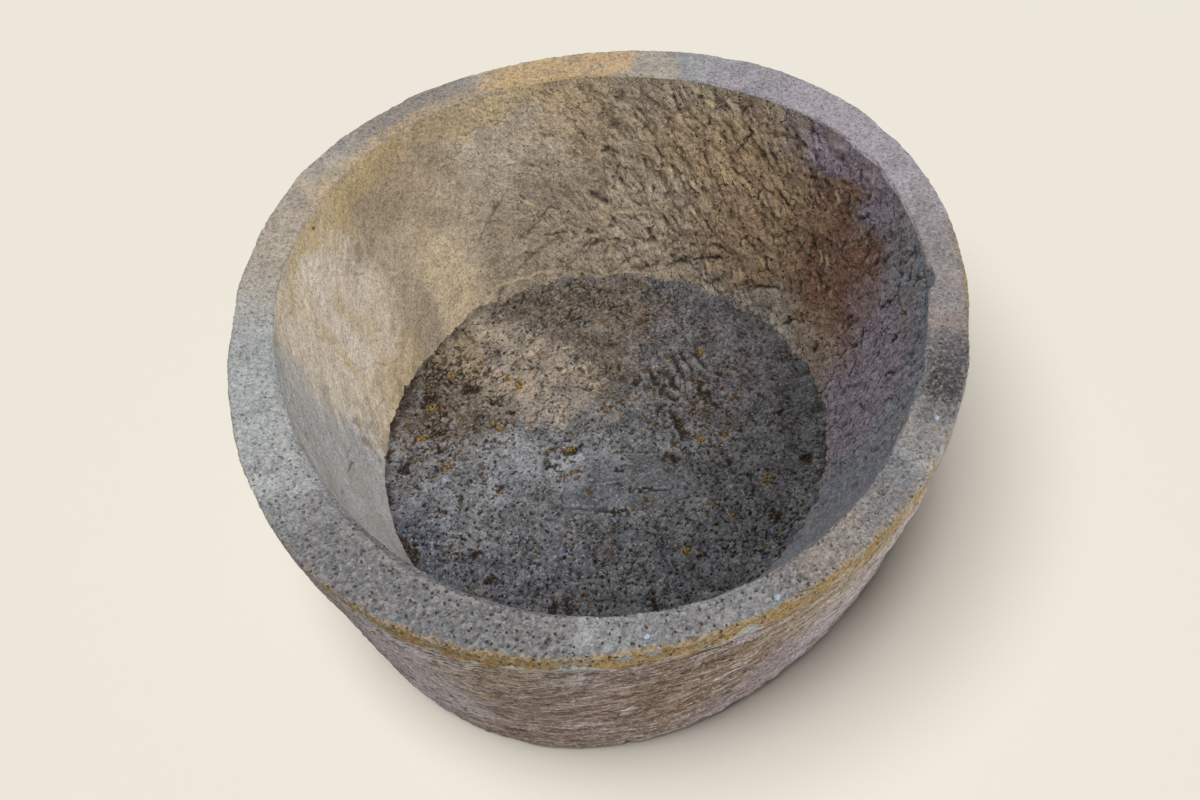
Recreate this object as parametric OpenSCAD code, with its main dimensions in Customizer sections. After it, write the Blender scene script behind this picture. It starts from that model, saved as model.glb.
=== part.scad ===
// Hewn stone planter: one block of sandstone, hollowed out by hand, with a bed of
// coarse mortar on its carved floor. All sizes are millimetres and all directions
// are degrees counted from +X towards +Y. The planter stands on the plane z = 0.

/* [Block] */
// Mean radius of the block at its rim
rim_r = 352.5; // [335:1:420]
// Mean height of the block
block_h = 295; // [250:1:420]
// Mean radius of the block just above the ground
base_r = 314; // [290:1:345]
// How far the block's foot sits off the rim's centre
base_shift = 19; // [0:1:25]
// Direction of that shift
base_shift_dir = 58; // [0:1:359]
// How far the foot's two long sides stand out
foot_oval = 9; // [0:0.1:12]
// Direction of the long sides
foot_oval_dir = 56; // [0:1:179]
// How far three rounded lobes of the foot stand out
foot_lobes = 10.5; // [0:0.1:12]
// Direction of the first lobe
foot_lobes_dir = 14; // [0:1:119]
// How far the outside of the wall swells at half its height
wall_bulge = 2.5; // [0:0.5:10]
// Rounding of the lowest edge of the block
foot_round = 12; // [4:1:20]

/* [Rim] */
// Mean width of the wall at the rim
rim_w = 41; // [34:0.5:60]
// Rounding of the rim's outer arris
outer_arris = 3; // [2:0.5:8]
// Rounding of the rim's inner arris
inner_arris = 4; // [1:0.5:8]
// Extra rounding where the inner arris is worn down
worn_arris = 14; // [0:0.5:18]
// Direction of the middle of the worn stretch
worn_dir = 222; // [0:1:359]
// Half the angle that the worn stretch covers
worn_span = 52; // [20:1:80]
// How far the rim rises and falls around the block
rim_sway = 1.5; // [0:0.5:4]
// Direction of the rim's first high side
sway_dir = 70; // [0:1:179]

/* [Outline of the rim] */
// How far the two long sides stand out
rim_oval = 15.9; // [0:0.1:20]
// Direction of the long sides
rim_oval_dir = 66; // [0:1:179]
// How far three rounded lobes stand out
rim_lobes = 5.2; // [0:0.1:8]
// Direction of the first lobe
rim_lobes_dir = 26; // [0:1:119]
// How far four rounded corners stand out
rim_corners = 4.2; // [0:0.1:6]
// Direction of the first corner
rim_corners_dir = 52; // [0:1:89]
// How far the wall stands out just under the rim on its proud side
shoulder = 2.5; // [0:0.5:8]
// Direction of the proud side
shoulder_dir = 336; // [0:1:359]
// Half the angle that the proud side covers
shoulder_span = 34; // [15:1:60]

/* [Outline of the mouth] */
// How far the two long sides of the mouth are cut back
mouth_oval = 11.9; // [0:0.1:14]
// Direction of the long sides
mouth_oval_dir = 72; // [0:1:179]
// How far three rounded lobes are cut back
mouth_lobes = 6; // [0:0.1:8]
// Direction of the first lobe
mouth_lobes_dir = 29; // [0:1:119]
// How far four rounded corners are cut back
mouth_corners = 2.3; // [0:0.1:5]
// Direction of the first corner
mouth_corners_dir = 36; // [0:1:89]

/* [Hollow] */
// Thickness of stone left under the carved floor
base_t = 58; // [45:1:90]
// Mean radius of the carved floor
floor_r = 225; // [205:1:245]
// How far the hollow's wall bows outwards at half its depth
hollow_belly = 5; // [0:0.5:10]
// How far the two long sides of the floor are cut back
floor_oval = 8; // [0:0.1:12]
// Direction of the long sides
floor_oval_dir = 53; // [0:1:179]
// How far three rounded lobes of the floor are cut back
floor_lobes = 3.6; // [0:0.1:6]
// Direction of the first lobe
floor_lobes_dir = 6; // [0:1:119]

/* [Tool marks] */
// Depth of the broad hollows left by the point chisel outside
hewn_outside = 2.5; // [0:0.1:4]
// Depth of the broad hollows left by the point chisel inside
hewn_inside = 2.5; // [0:0.1:4]

/* [Floor bed] */
// Thickness of the coarse mortar bed on the carved floor
bed_t = 12; // [10:0.5:24]
// Rise of the bed where it is drawn up against the wall
haunch_h = 5; // [1:0.5:12]
// Width of that drawn up edge
haunch_w = 16; // [8:1:30]

/* [Drain] */
// Radius of the drain bored through the block's base
drain_r = 20; // [12:0.5:30]
// Place of the drain to the right of the rim's centre
drain_x = 20; // [-60:1:60]
// Place of the drain behind the rim's centre
drain_y = -52; // [-80:1:60]
// Depth of the open bore left under the mortar stopper
drain_open = 3; // [1:1:30]
// Half the length of the stopper's smeared cap
cap_l = 69; // [40:1:90]
// Half the width of the stopper's smeared cap
cap_w = 39; // [34:1:60]
// Thickness of the cap at its middle
cap_t = 5; // [2:0.5:8]

/* [Pebbles and gravel] */
// Diameter of a round pebble in the rim's face
pebble_d = 6; // [4:0.5:10]
// How deep a pebble is sunk, as a share of its diameter
pebble_sink = 0.62; // [0.55:0.01:0.8]
// Width of the largest gravel grain in the bed
grain_d = 15; // [8:0.5:18]
// How deep a grain is sunk, as a share of its height
grain_sink = 0.5; // [0.4:0.01:0.65]
// Clearance around everything that is bedded in stone or mortar
bedding = 0.3; // [0.1:0.05:0.5]

/* [Hidden] */

// Columns of facets around the block, and rows up each stretch of its section
columns = 90;
wall_rows = 10;
round_rows = 3;
hollow_rows = 10;
haunch_rows = 4;
bore_facets = 48;

// Each outline is a circle with slow waves: how many, how far out, and where
rim_waves = [[2, rim_oval, rim_oval_dir], [3, rim_lobes, rim_lobes_dir],
             [4, rim_corners, rim_corners_dir]];
foot_waves = [[2, foot_oval, foot_oval_dir], [3, foot_lobes, foot_lobes_dir]];
mouth_waves = [[2, mouth_oval, mouth_oval_dir], [3, mouth_lobes, mouth_lobes_dir],
               [4, mouth_corners, mouth_corners_dir]];
floor_waves = [[2, floor_oval, floor_oval_dir], [3, floor_lobes, floor_lobes_dir]];

// Pebbles: direction, and place across the rim's face from 0 at the mouth to 1 outside
pebbles = [[274.5, 0.6], [292.5, 0.74], [333, 0.6]];

// Grains: direction, place from 0 at the floor's centre to 1 at its edge, share of grain_d
grains = [[137, 0.62, 1], [138, 0.7, 0.6], [168, 0.56, 0.7], [165, 0.62, 0.5],
          [189, 0.18, 0.8], [1, 0.5, 0.75], [3, 0.62, 0.5], [48, 0.78, 0.55],
          [300, 0.8, 0.5], [323, 0.84, 0.6], [343, 0.88, 0.65], [163, 0.98, 0.7],
          [176, 0.98, 0.6], [150, 0.96, 0.65], [189, 0.84, 0.5]];
grain_sides = 7;
grain_flatness = 0.7;
grain_unevenness = 0.12;

// Dents of the hewn wall: share, waves around the block, degrees of turn for a millimetre up
dent_waves = [[0.6, 5, 1.3], [0.4, 11, -0.9]];
// How far the dents inside are turned from those outside, in degrees
inside_dents_turn = 40;

// The cap's outline: how many waves, how far out as a share, and where
cap_waves = [[3, 0.06, -20 / 3], [5, 0.05, 0]];
// Flat strip along the top of the bed's edge, next to the wall
haunch_lip = 1;
// How far a bore's cutter reaches past the faces that it cuts
overcut = 1;

bed_z = base_t + bed_t;
drain_at = [drain_x, drain_y];

function mix(a, b, t) = a + (b - a) * t;

// Smallest turn between two directions, 0 to 180
function turn(a, b) = abs(((a - b) % 360 + 540) % 360 - 180);

// Soft hump: 1 in its middle, 0 beyond its span
function hump(a, middle, span) =
    turn(a, middle) < span ? 0.5 + 0.5 * cos(180 * turn(a, middle) / span) : 0;

function wavy(r, waves, a) =
    r + [for (w = waves) w[1]] * [for (w = waves) cos(w[0] * (a - w[2]))];

// Height of the rim's face
function rim_z(a) = block_h + rim_sway * cos(2 * (a - sway_dir));

// Slow dents of a hewn surface, from -1 to 1, at a direction and height
function dents(a, z) =
    [for (w = dent_waves) w[0]] * [for (w = dent_waves) sin(w[1] * a + w[2] * z)];

// Outside of the block: t runs from 0 at the ground to 1 at the rim
function foot_outline(a) = wavy(base_r, foot_waves, a) + base_shift * cos(a - base_shift_dir);

function outside_r(a, t) =
    mix(foot_outline(a), wavy(rim_r, rim_waves, a), t)
    + wall_bulge * 4 * t * (1 - t)
    + shoulder * hump(a, shoulder_dir, shoulder_span) * sin(180 * pow(t, 4))
    + hewn_outside * dents(a, t * block_h) * sin(180 * t);

// Extra rounding at a direction: the wall stands that much further into the hollow there
function worn(a) = worn_arris * hump(a, worn_dir, worn_span);

function arris_in(a) = inner_arris + worn(a);

function mouth_r(a) = wavy(rim_r - rim_w, mouth_waves, a) - worn(a);

function floor_outline(a) = wavy(floor_r, floor_waves, a);

// Inside of the hollow: t runs from 0 at the carved floor to 1 under the inner arris
function inside_r(a, t) =
    mix(floor_outline(a), mouth_r(a), t)
    + hollow_belly * 4 * t * (1 - t)
    + hewn_inside * dents(a + inside_dents_turn, t * block_h) * sin(180 * t);

// The same wall at a given height
function inside_r_at(a, z) = inside_r(a, (z - base_t) / (rim_z(a) - arris_in(a) - base_t));

// One ring of points, from a radius and a height that each depend on the direction
function ring(radius, height) =
    [for (i = [0 : columns - 1]) let (a = 360 * i / columns, r = radius(a))
        [r * cos(a), r * sin(a), height(a)]];

// Steps from one value to another, both ends included
function steps(from, to, count) = [for (i = [0 : count]) mix(from, to, i / count)];

foot_rows = [for (q = steps(0, 90, round_rows))
    ring(function(a) outside_r(a, 0) - foot_round * (1 - sin(q)),
         function(a) foot_round * (1 - cos(q)))];

outer_rows = [for (t = steps(0, 1, wall_rows)) if (t > 0)
    ring(function(a) outside_r(a, t),
         function(a) mix(foot_round, rim_z(a) - outer_arris, t))];

outer_arris_rows = [for (q = steps(0, 90, round_rows)) if (q > 0)
    ring(function(a) outside_r(a, 1) - outer_arris * (1 - cos(q)),
         function(a) rim_z(a) - outer_arris * (1 - sin(q)))];

inner_arris_rows = [for (q = steps(0, 90, round_rows))
    ring(function(a) mouth_r(a) + arris_in(a) * (1 - sin(q)),
         function(a) rim_z(a) - arris_in(a) * (1 - cos(q)))];

hollow_rings = [for (t = steps(1, 0, hollow_rows)) if (t < 1)
    ring(function(a) inside_r(a, t),
         function(a) mix(base_t, rim_z(a) - arris_in(a), t))];

block_rings = concat(foot_rows, outer_rows, outer_arris_rows, inner_arris_rows, hollow_rings);

// The middle of the block's own box, which stands over the origin
block_xs = [for (row = block_rings, p = row) p[0]];
block_ys = [for (row = block_rings, p = row) p[1]];
middle = [(min(block_xs) + max(block_xs)) / 2, (min(block_ys) + max(block_ys)) / 2];

// Closed skin over a stack of rings that all have as many points; both ends are flat
module skin(rings) {
    n = len(rings[0]);
    last = (len(rings) - 1) * n;
    bands = [for (j = [0 : len(rings) - 2], i = [0 : n - 1])
        let (k = (i + 1) % n, low = j * n, high = (j + 1) * n)
            each [[low + i, high + i, high + k], [low + i, high + k, low + k]]];
    first_end = [for (i = [0 : n - 1]) i];
    last_end = [for (i = [n - 1 : -1 : 0]) last + i];
    polyhedron([for (row = rings) each row], concat([first_end], bands, [last_end]));
}

// Everything stands with the middle of the block over the origin
module placed() {
    translate([-middle[0], -middle[1], 0]) children();
}

module drain_bore(z_low, z_high, r) {
    translate([drain_at[0], drain_at[1], z_low])
        cylinder(h = z_high - z_low, r = r, $fn = bore_facets);
}

module at_pebble(p) {
    a = p[0];
    r = mix(mouth_r(a) + arris_in(a), outside_r(a, 1) - outer_arris, p[1]);
    lift = pebble_d * (0.5 - pebble_sink);
    translate([r * cos(a), r * sin(a), rim_z(a) + lift]) children();
}

// A worn gravel grain: flat rings, narrower towards its top and bottom, slightly uneven
module grain(d, turn_by) {
    half = d / 2;
    skin([for (lat = [-60, -25, 15, 55])
        [for (i = [0 : grain_sides - 1])
            let (a = 360 * i / grain_sides + turn_by,
                 r = half * cos(lat) * (1 + grain_unevenness * sin(3 * a + lat)))
                [r * cos(a), r * sin(a), half * grain_flatness * sin(lat)]]]);
}

module at_grain(g) {
    r = g[1] * (floor_outline(g[0]) - haunch_w - grain_d / 2);
    height = grain_d * g[2] * grain_flatness;
    translate([r * cos(g[0]), r * sin(g[0]), bed_z + height * (0.5 - grain_sink)]) children();
}

// The block, with its drain and a socket for each pebble
module stone_bowl() {
    color("#8d857c") placed() difference() {
        skin(block_rings);
        drain_bore(-overcut, base_t + overcut, drain_r);
        for (p = pebbles) at_pebble(p) sphere(d = pebble_d + 2 * bedding, $fn = 24);
    }
}

// Bed of coarse mortar: level in the middle and drawn up against the wall
bed_edge = haunch_h + bed_z;
bed_rings = concat(
    [ring(function(a) inside_r_at(a, base_t) - bedding, function(a) base_t),
     ring(function(a) inside_r_at(a, bed_z) - bedding, function(a) bed_z),
     ring(function(a) inside_r_at(a, bed_edge) - bedding, function(a) bed_edge)],
    [for (q = steps(0, 90, haunch_rows)) if (q > 0)
        ring(function(a)
                 inside_r_at(a, bed_edge) - bedding - haunch_w * (1 - cos(q)) - haunch_lip,
             function(a) bed_z + haunch_h * (1 - sin(q)))]);

module floor_bed() {
    color("#6b655c") placed() difference() {
        skin(bed_rings);
        drain_bore(base_t - overcut, bed_z + overcut, drain_r);
        for (g = grains)
            at_grain(g) grain(grain_d * g[2] + 2 * bedding, g[0]);
    }
}

// Stopper: a plug cast in the drain, with a smeared cap over the bed around it
module drain_stopper() {
    cap_rings = [for (q = [0, 30, 60, 80])
        [for (i = [0 : bore_facets - 1])
            let (a = 360 * i / bore_facets, swell = wavy(1, cap_waves, a))
                [drain_at[0] + cap_l * swell * cos(a) * cos(q),
                 drain_at[1] + cap_w * swell * sin(a) * cos(q),
                 bed_z + cap_t * sin(q)]]];
    color("#777571") placed() union() {
        skin(cap_rings);
        drain_bore(drain_open, bed_z + cap_t / 2, drain_r - bedding);
    }
}

module rim_pebbles() {
    color("#9aa3ae") placed()
        for (p = pebbles) at_pebble(p) sphere(d = pebble_d, $fn = 24);
}

module ochre_gravel() {
    color("#a9712a") placed()
        for (g = grains) at_grain(g) grain(grain_d * g[2], g[0]);
}

stone_bowl();
floor_bed();
drain_stopper();
rim_pebbles();
ochre_gravel();
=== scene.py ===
import math

import bmesh
import bpy
import numpy as np
from mathutils import Euler, Matrix, Vector, noise
from mathutils.bvhtree import BVHTree


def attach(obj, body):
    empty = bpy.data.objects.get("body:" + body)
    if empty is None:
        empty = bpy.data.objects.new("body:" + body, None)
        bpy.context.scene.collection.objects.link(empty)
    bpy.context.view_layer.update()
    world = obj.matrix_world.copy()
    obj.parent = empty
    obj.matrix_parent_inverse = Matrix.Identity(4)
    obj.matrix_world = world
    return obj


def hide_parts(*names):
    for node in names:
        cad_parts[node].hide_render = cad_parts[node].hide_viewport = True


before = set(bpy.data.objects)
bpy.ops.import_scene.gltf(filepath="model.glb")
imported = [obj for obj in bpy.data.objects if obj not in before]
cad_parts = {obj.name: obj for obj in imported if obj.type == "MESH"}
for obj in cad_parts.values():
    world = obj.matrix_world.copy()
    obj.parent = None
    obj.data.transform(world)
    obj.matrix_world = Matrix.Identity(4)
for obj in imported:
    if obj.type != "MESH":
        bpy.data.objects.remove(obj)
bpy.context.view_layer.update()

MM = 0.001

# Where the rim's centre stands, from the middle of the block's box
RIM_CENTRE = np.array((-2.01, 5.14))

# The block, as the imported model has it
BLOCK_H = 295.0
RIM_R = 352.5
BASE_R = 314.0
BASE_SHIFT = 19.0
BASE_SHIFT_DIR = 58.0
WALL_BULGE = 2.5
FOOT_ROUND = 12.0
RIM_W = 41.0
OUTER_ARRIS = 3.0
INNER_ARRIS = 4.0
WORN_ARRIS = 14.0
WORN_DIR = 222.0
WORN_SPAN = 52.0
RIM_SWAY = 1.5
SWAY_DIR = 70.0
SHOULDER = 2.5
SHOULDER_DIR = 336.0
SHOULDER_SPAN = 34.0
BASE_T = 58.0
FLOOR_R = 225.0
HOLLOW_BELLY = 5.0
HEWN = 2.5
INSIDE_DENTS_TURN = 40.0
BED_Z = 70.0
HAUNCH_H = 5.0
HAUNCH_W = 16.0
HAUNCH_LIP = 1.0
BEDDING = 0.3
DRAIN_R = 20.0
DRAIN_AT = np.array((20.0, -52.0))
DRAIN_OPEN = 3.0
CAP_L = 69.0
CAP_W = 39.0
CAP_T = 5.0
PEBBLE_D = 6.0
PEBBLE_SINK = 0.62
GRAIN_D = 15.0

# How far the hollow's wall stands from the middle, on average
HOLLOW_R = 280.0

# Slow waves of each outline: how many, how far out, and where
RIM_WAVES = ((2, 15.9, 66), (3, 5.2, 26), (4, 4.2, 52))
FOOT_WAVES = ((2, 9.0, 56), (3, 10.5, 14))
MOUTH_WAVES = ((2, 11.9, 72), (3, 6.0, 29), (4, 2.3, 36))
FLOOR_WAVES = ((2, 8.0, 53), (3, 3.6, 6))
CAP_WAVES = ((3, 0.06, -20 / 3), (5, 0.05, 0))

# Pebbles: direction, and place across the rim's face. Gravel: direction, place from the
# floor's centre, and size of the clump
PEBBLES = ((274.5, 0.6), (292.5, 0.74), (333, 0.6))
CLUMPS = ((137, 0.62, 1), (138, 0.7, 0.6), (168, 0.56, 0.7), (165, 0.62, 0.5),
          (189, 0.18, 0.8), (1, 0.5, 0.75), (3, 0.62, 0.5), (48, 0.78, 0.55),
          (300, 0.8, 0.5), (323, 0.84, 0.6), (343, 0.88, 0.65), (163, 0.98, 0.7),
          (176, 0.98, 0.6), (150, 0.96, 0.65), (189, 0.84, 0.5))

# How finely the skin is meshed: columns around, and rows along each stretch of the section
COLUMNS = 900
WALL_ROWS = 92
BAND_ROWS = 12
ARRIS_ROWS = 4
FACE_ROWS = 24
MOUTH_ROWS = 9
HOLLOW_COLUMNS = 1200
HOLLOW_ROWS = 158
FOOT_ROWS = 5
BASE_ROWS = 4
BED_STEPS = 300
CAP_STEPS = (110, 64)

# The seam between rim and outer wall, as a share of the height, and the hidden stone behind
BAND_FROM = 0.93
BEHIND = 12.0

# How many rows away from a seam the relief is full, over how many rows a worn edge reaches,
# and over how many crevices and lips are looked for, to paint shade into the one and a highlight
# onto the other
SEAM_ROWS = 4
EDGE_ROWS = 5.5
MARK_REACH = 3

# How far from the rim's centre grit lies in the bed, how much of a pit each crumb takes in
# square millimetres, and how much prouder the pebbles stand than in the model
GRIT_REACH = 218
CRUMB_ROOM = 7
PEBBLE_PROUD = 0.4

# Points closer than this are one, in metres
MERGE_WITHIN = 1e-7

# Light: the sky's and each lamp's share of what falls on a level surface, and each lamp's
# direction, its height and how wide it looks
BACKDROP = "#efe9dd"
SKY_LIGHT = 0.12
PLANTER_LAMPS = (("top_lamp", 0.17, 0, 90, 150), ("left_lamp", 0.29, 150, 60, 46),
                 ("hollow_lamp", 0.52, -36, 45, 30))
FLOOR_LAMPS = (("side_floor_lamp", 0.66, 210, 70, 35), ("front_floor_lamp", 0.20, 255, 80, 15))

# Half the side of the floor, in metres
FLOOR_HALF = 8


def cosd(a):
    return np.cos(np.radians(a))


def sind(a):
    return np.sin(np.radians(a))


def mix(a, b, t):
    return a + (b - a) * t


def smooth(x):
    x = np.clip(x, 0, 1)
    return x * x * (3 - 2 * x)


def bell(x):
    return np.exp(-x ** 2)


def blot(x, y, middle_x, middle_y, wide, deep):
    """1 in the middle of a soft patch and 0 well outside it."""
    return np.exp(-((x - middle_x) / wide) ** 2 - ((y - middle_y) / deep) ** 2)


def turn(a, b):
    return (np.asarray(a) - b + 180) % 360 - 180


def hump(a, middle, span):
    off = abs(turn(a, middle))
    return np.where(off < span, 0.5 + 0.5 * cosd(180 * off / span), 0)


def wavy(r, waves, a):
    return r + sum(swing * cosd(count * (a - middle)) for count, swing, middle in waves)


def leaning(x, y, lean):
    """Steps along and across a line that leans by so many degrees."""
    return x * cosd(lean) + y * sind(lean), y * cosd(lean) - x * sind(lean)


def rim_z(a):
    return BLOCK_H + RIM_SWAY * cosd(2 * (a - SWAY_DIR))


def dents(a, z):
    return 0.6 * sind(5 * a + 1.3 * z) + 0.4 * sind(11 * a - 0.9 * z)


def outside_r(a, t):
    foot = wavy(BASE_R, FOOT_WAVES, a) + BASE_SHIFT * cosd(a - BASE_SHIFT_DIR)
    return (mix(foot, wavy(RIM_R, RIM_WAVES, a), t) + WALL_BULGE * 4 * t * (1 - t)
            + SHOULDER * hump(a, SHOULDER_DIR, SHOULDER_SPAN) * sind(180 * t ** 4)
            + HEWN * dents(a, t * BLOCK_H) * sind(180 * t))


def outside_z(a, t):
    return mix(FOOT_ROUND, rim_z(a) - OUTER_ARRIS, t)


def worn(a):
    return WORN_ARRIS * hump(a, WORN_DIR, WORN_SPAN)


def arris_in(a):
    return INNER_ARRIS + worn(a)


def mouth_r(a):
    return wavy(RIM_R - RIM_W, MOUTH_WAVES, a) - worn(a)


def inside_r(a, t):
    return (mix(wavy(FLOOR_R, FLOOR_WAVES, a), mouth_r(a), t) + HOLLOW_BELLY * 4 * t * (1 - t)
            + HEWN * dents(a + INSIDE_DENTS_TURN, t * BLOCK_H) * sind(180 * t))


def inside_z(a, t):
    return mix(BASE_T, rim_z(a) - arris_in(a), t)


def inside_r_at(a, z):
    return inside_r(a, (z - BASE_T) / (rim_z(a) - arris_in(a) - BASE_T))


def lumps(points, size, seed, octaves=4, roughness=0.9, stretch=(1, 1, 1)):
    """Uneven noise of about -1 to 1 at points in millimetres, with lumps of a given size."""
    places = points / (size * np.array(stretch)) + np.array((17.3, 5.9, 11.1)) * seed
    flat = places.reshape(-1, 3).tolist()
    values = [noise.fractal(p, roughness, 2.0, octaves) for p in flat]
    return np.array(values).reshape(places.shape[:-1]) * 2


def cells(points, size, seed):
    """Distance to the nearest of scattered points that lie about a given size apart."""
    flat = (points / size + seed * 7.7).reshape(-1, 3).tolist()
    return np.array([noise.voronoi(p)[0][0] for p in flat]).reshape(points.shape[:-1])


def softened(field, reach):
    """A field with its fine detail blurred away; its columns close round."""
    steps = range(-reach, reach + 1)
    wide = sum(np.roll(field, k, axis=1) for k in steps) / len(steps)
    padded = np.pad(wide, ((reach, reach), (0, 0)), mode="edge")
    return sum(padded[reach + k:reach + k + len(field)] for k in steps) / len(steps)


def crevice_shade_and_lip_highlight(relief, scale):
    """From -1 in a crevice to 1 on a sharp lip, over a small and a wider reach. The material
    paints shade into the crevices and a highlight onto the lips.
    """
    near = (relief - softened(relief, MARK_REACH)) / scale
    wide = (relief - softened(relief, 3 * MARK_REACH)) / (2 * scale)
    return np.clip(0.8 * near + 0.6 * wide, -1, 1)


def surface_values(masks, relief, scale, beds, rough):
    """What a stone's material reads: its stains, its crevices and lips for painted shade and
    painted highlights, its height along the stone's beds in metres, and how rough it is."""
    return {**masks, "relief": crevice_shade_and_lip_highlight(relief, scale), "bed": beds[..., 2] * MM,
            "rough": rough + np.zeros(relief.shape)}


def around(radius, height, a):
    """Points at a radius, a height and a direction each."""
    radius, height, a = np.broadcast_arrays(radius, height, a)
    return np.stack((radius * cosd(a), radius * sind(a), height), axis=-1)


def raised(points, amount):
    """Moves points straight up, each by its own amount."""
    lifted = points.copy()
    lifted[..., 2] += amount
    return lifted


def directions(columns):
    return (360 * np.arange(columns) / columns)[None, :]


def stepped(first, last, count):
    """A column of evenly spaced values, both ends included."""
    return np.linspace(first, last, count + 1)[:, None]


def broken(points, size, seed, stretch):
    """Flat faces of 1 with winding crevices of 0 between them."""
    face = np.minimum(abs(lumps(points, size, seed, 3, stretch=stretch)) * 3.2, 1)
    healed = smooth(lumps(points, 2.2 * size, seed + 0.5, 2, stretch=stretch) * 1.6 + 0.35)
    return face + (1 - face) * healed


def flaked(points, size, seed, stretch):
    """Flat steps, 1 apart, with steep edges where flakes came off."""
    level = 2.6 * lumps(points, size, seed, 3, stretch=stretch)
    step = np.floor(level)
    return step + smooth((level - step - 0.7) / 0.3) - 0.25 * (level - step)


# Stains and washes. Each zone is a soft patch: its colour, the middle of its span and half
# of that span in degrees, the middle of its height and half of that height as shares, how
# much of it fades, and how strong it is
HOLLOW_ZONES = (
    ("pale", 209, 29, 0.55, 0.9, 0.12, 0.95),
    ("lilac", 190, 9, 0.1, 0.2, 0.9, 0.5),
    ("brown", 197, 13, 0.12, 0.28, 1.3, 0.4),
    ("umber", 214, 12, 0.06, 0.2, 1.2, 0.55),
    ("cream", 166, 17, 0.62, 0.5, 0.5, 0.98),
    ("cream", 177, 11, 0.7, 0.3, 0.9, 0.5),
    ("cream", 131, 9, 0.2, 0.35, 0.8, 0.4),
    ("cream", 104, 15, 0.84, 0.25, 0.7, 0.35),
    ("tan", 135, 10, 0.8, 0.2, 0.9, 0.3),
    ("ochre", 171, 2, 0.5, 0.3, 1.2, 0.4),
    ("ochre", 159, 2, 0.45, 0.25, 1.2, 0.35),
    ("umber", 165, 3, 0.6, 0.25, 1.2, 0.35),
    ("umber", 148, 3, 0.6, 0.3, 1.2, 0.4),
    ("tan", 93, 9, 0.85, 0.2, 0.9, 0.5),
    ("umber", 112, 9, 0.82, 0.25, 0.9, 0.35),
    ("tan", 152, 8, 0.45, 0.4, 0.9, 0.15),
    ("umber", 74, 14, 0.3, 0.2, 1.1, 0.45),
    ("umber", 134, 8, 0.72, 0.3, 1.2, 0.3),
    ("umber", 147, 6, 0.18, 0.13, 0.8, 0.7),
    ("umber", 104, 17, 0.2, 0.32, 0.4, 0.8),
    ("umber", 96, 11, 0.52, 0.14, 0.7, 0.6),
    ("umber", 84, 8, 0.75, 0.3, 0.8, 0.5),
    ("umber", 68, 26, 0.97, 0.06, 0.9, 0.4),
    ("ochre", 159, 9, 0.13, 0.13, 0.9, 0.4),
    ("ochre", 131, 8, 0.2, 0.35, 1.2, 0.4),
    ("ochre", 150, 24, 0.96, 0.1, 1.1, 0.65),
    ("ochre", 108, 16, 0.97, 0.12, 1.2, 0.5),
    ("tan", 66, 13, 0.76, 0.16, 0.9, 0.7),
    ("tan", 52, 14, 0.5, 0.3, 0.9, 0.5),
    ("brown", 26, 16, 0.6, 0.32, 1.1, 0.95),
    ("brown", 46, 20, 0.48, 0.36, 1.2, 0.6),
    ("brown", 17, 16, 0.2, 0.2, 0.9, 0.45),
    ("slate", 3, 23, 0.95, 0.2, 1.1, 0.8),
    ("lilac", 34, 15, 0.93, 0.11, 0.8, 0.8),
    ("pale", 44, 17, 0.1, 0.07, 1.2, 0.45),
    ("lilac", 2, 15, 0.35, 0.42, 1.2, 0.9),
    ("slate", 338, 26, 0.6, 0.9, 1.0, 0.9),
    ("slate", 286, 48, 0.5, 0.9, 0.9, 0.6),
)
FACE_ZONES = (
    ("pale", 195, 22, 0.5, 1.2, 0.6, 0.95),
    ("slate", 243, 22, 0.5, 1.2, 0.6, 0.5),
    ("slate", 285, 14, 0.5, 1.2, 0.9, 0.35),
    ("cream", 159, 19, 0.5, 1.2, 0.9, 0.75),
    ("tan", 143, 15, -0.1, 0.4, 0.9, 0.45),
    ("umber", 125, 14, 0.6, 0.9, 0.9, 0.8),
    ("tan", 118, 15, -0.1, 0.4, 0.9, 0.4),
    ("tan", 98, 12, 0.5, 1.2, 0.8, 0.95),
    ("cream", 84, 8, 0.5, 1.2, 0.8, 0.6),
    ("lilac", 40, 25, 0.5, 1.2, 0.7, 0.85),
    ("umber", 10, 26, 0.5, 1.2, 0.9, 0.85),
    ("lilac", 5, 18, 0.5, 1.2, 0.9, 0.25),
    ("slate", 14, 6, 0.2, 0.6, 0.9, 0.35),
    ("brown", 352, 3, 0.55, 0.6, 0.9, 0.5),
    ("slate", 342, 8, 0.6, 0.7, 0.9, 0.95),
    ("umber", 330, 6, 0.5, 1.0, 0.8, 0.5),
    ("slate", 316, 5, 0.4, 0.6, 0.8, 0.4),
    ("umber", 303, 10, 0.5, 1.2, 0.8, 0.8),
    ("ochre", 309, 15, 1.0, 0.16, 0.8, 0.3),
    ("ochre", 2, 9, 1.0, 0.13, 0.9, 0.6),
    ("ochre", 272, 40, 1.04, 0.1, 0.8, 0.7),
    ("brown", 30, 30, 1.04, 0.05, 0.8, 0.5),
)
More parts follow.
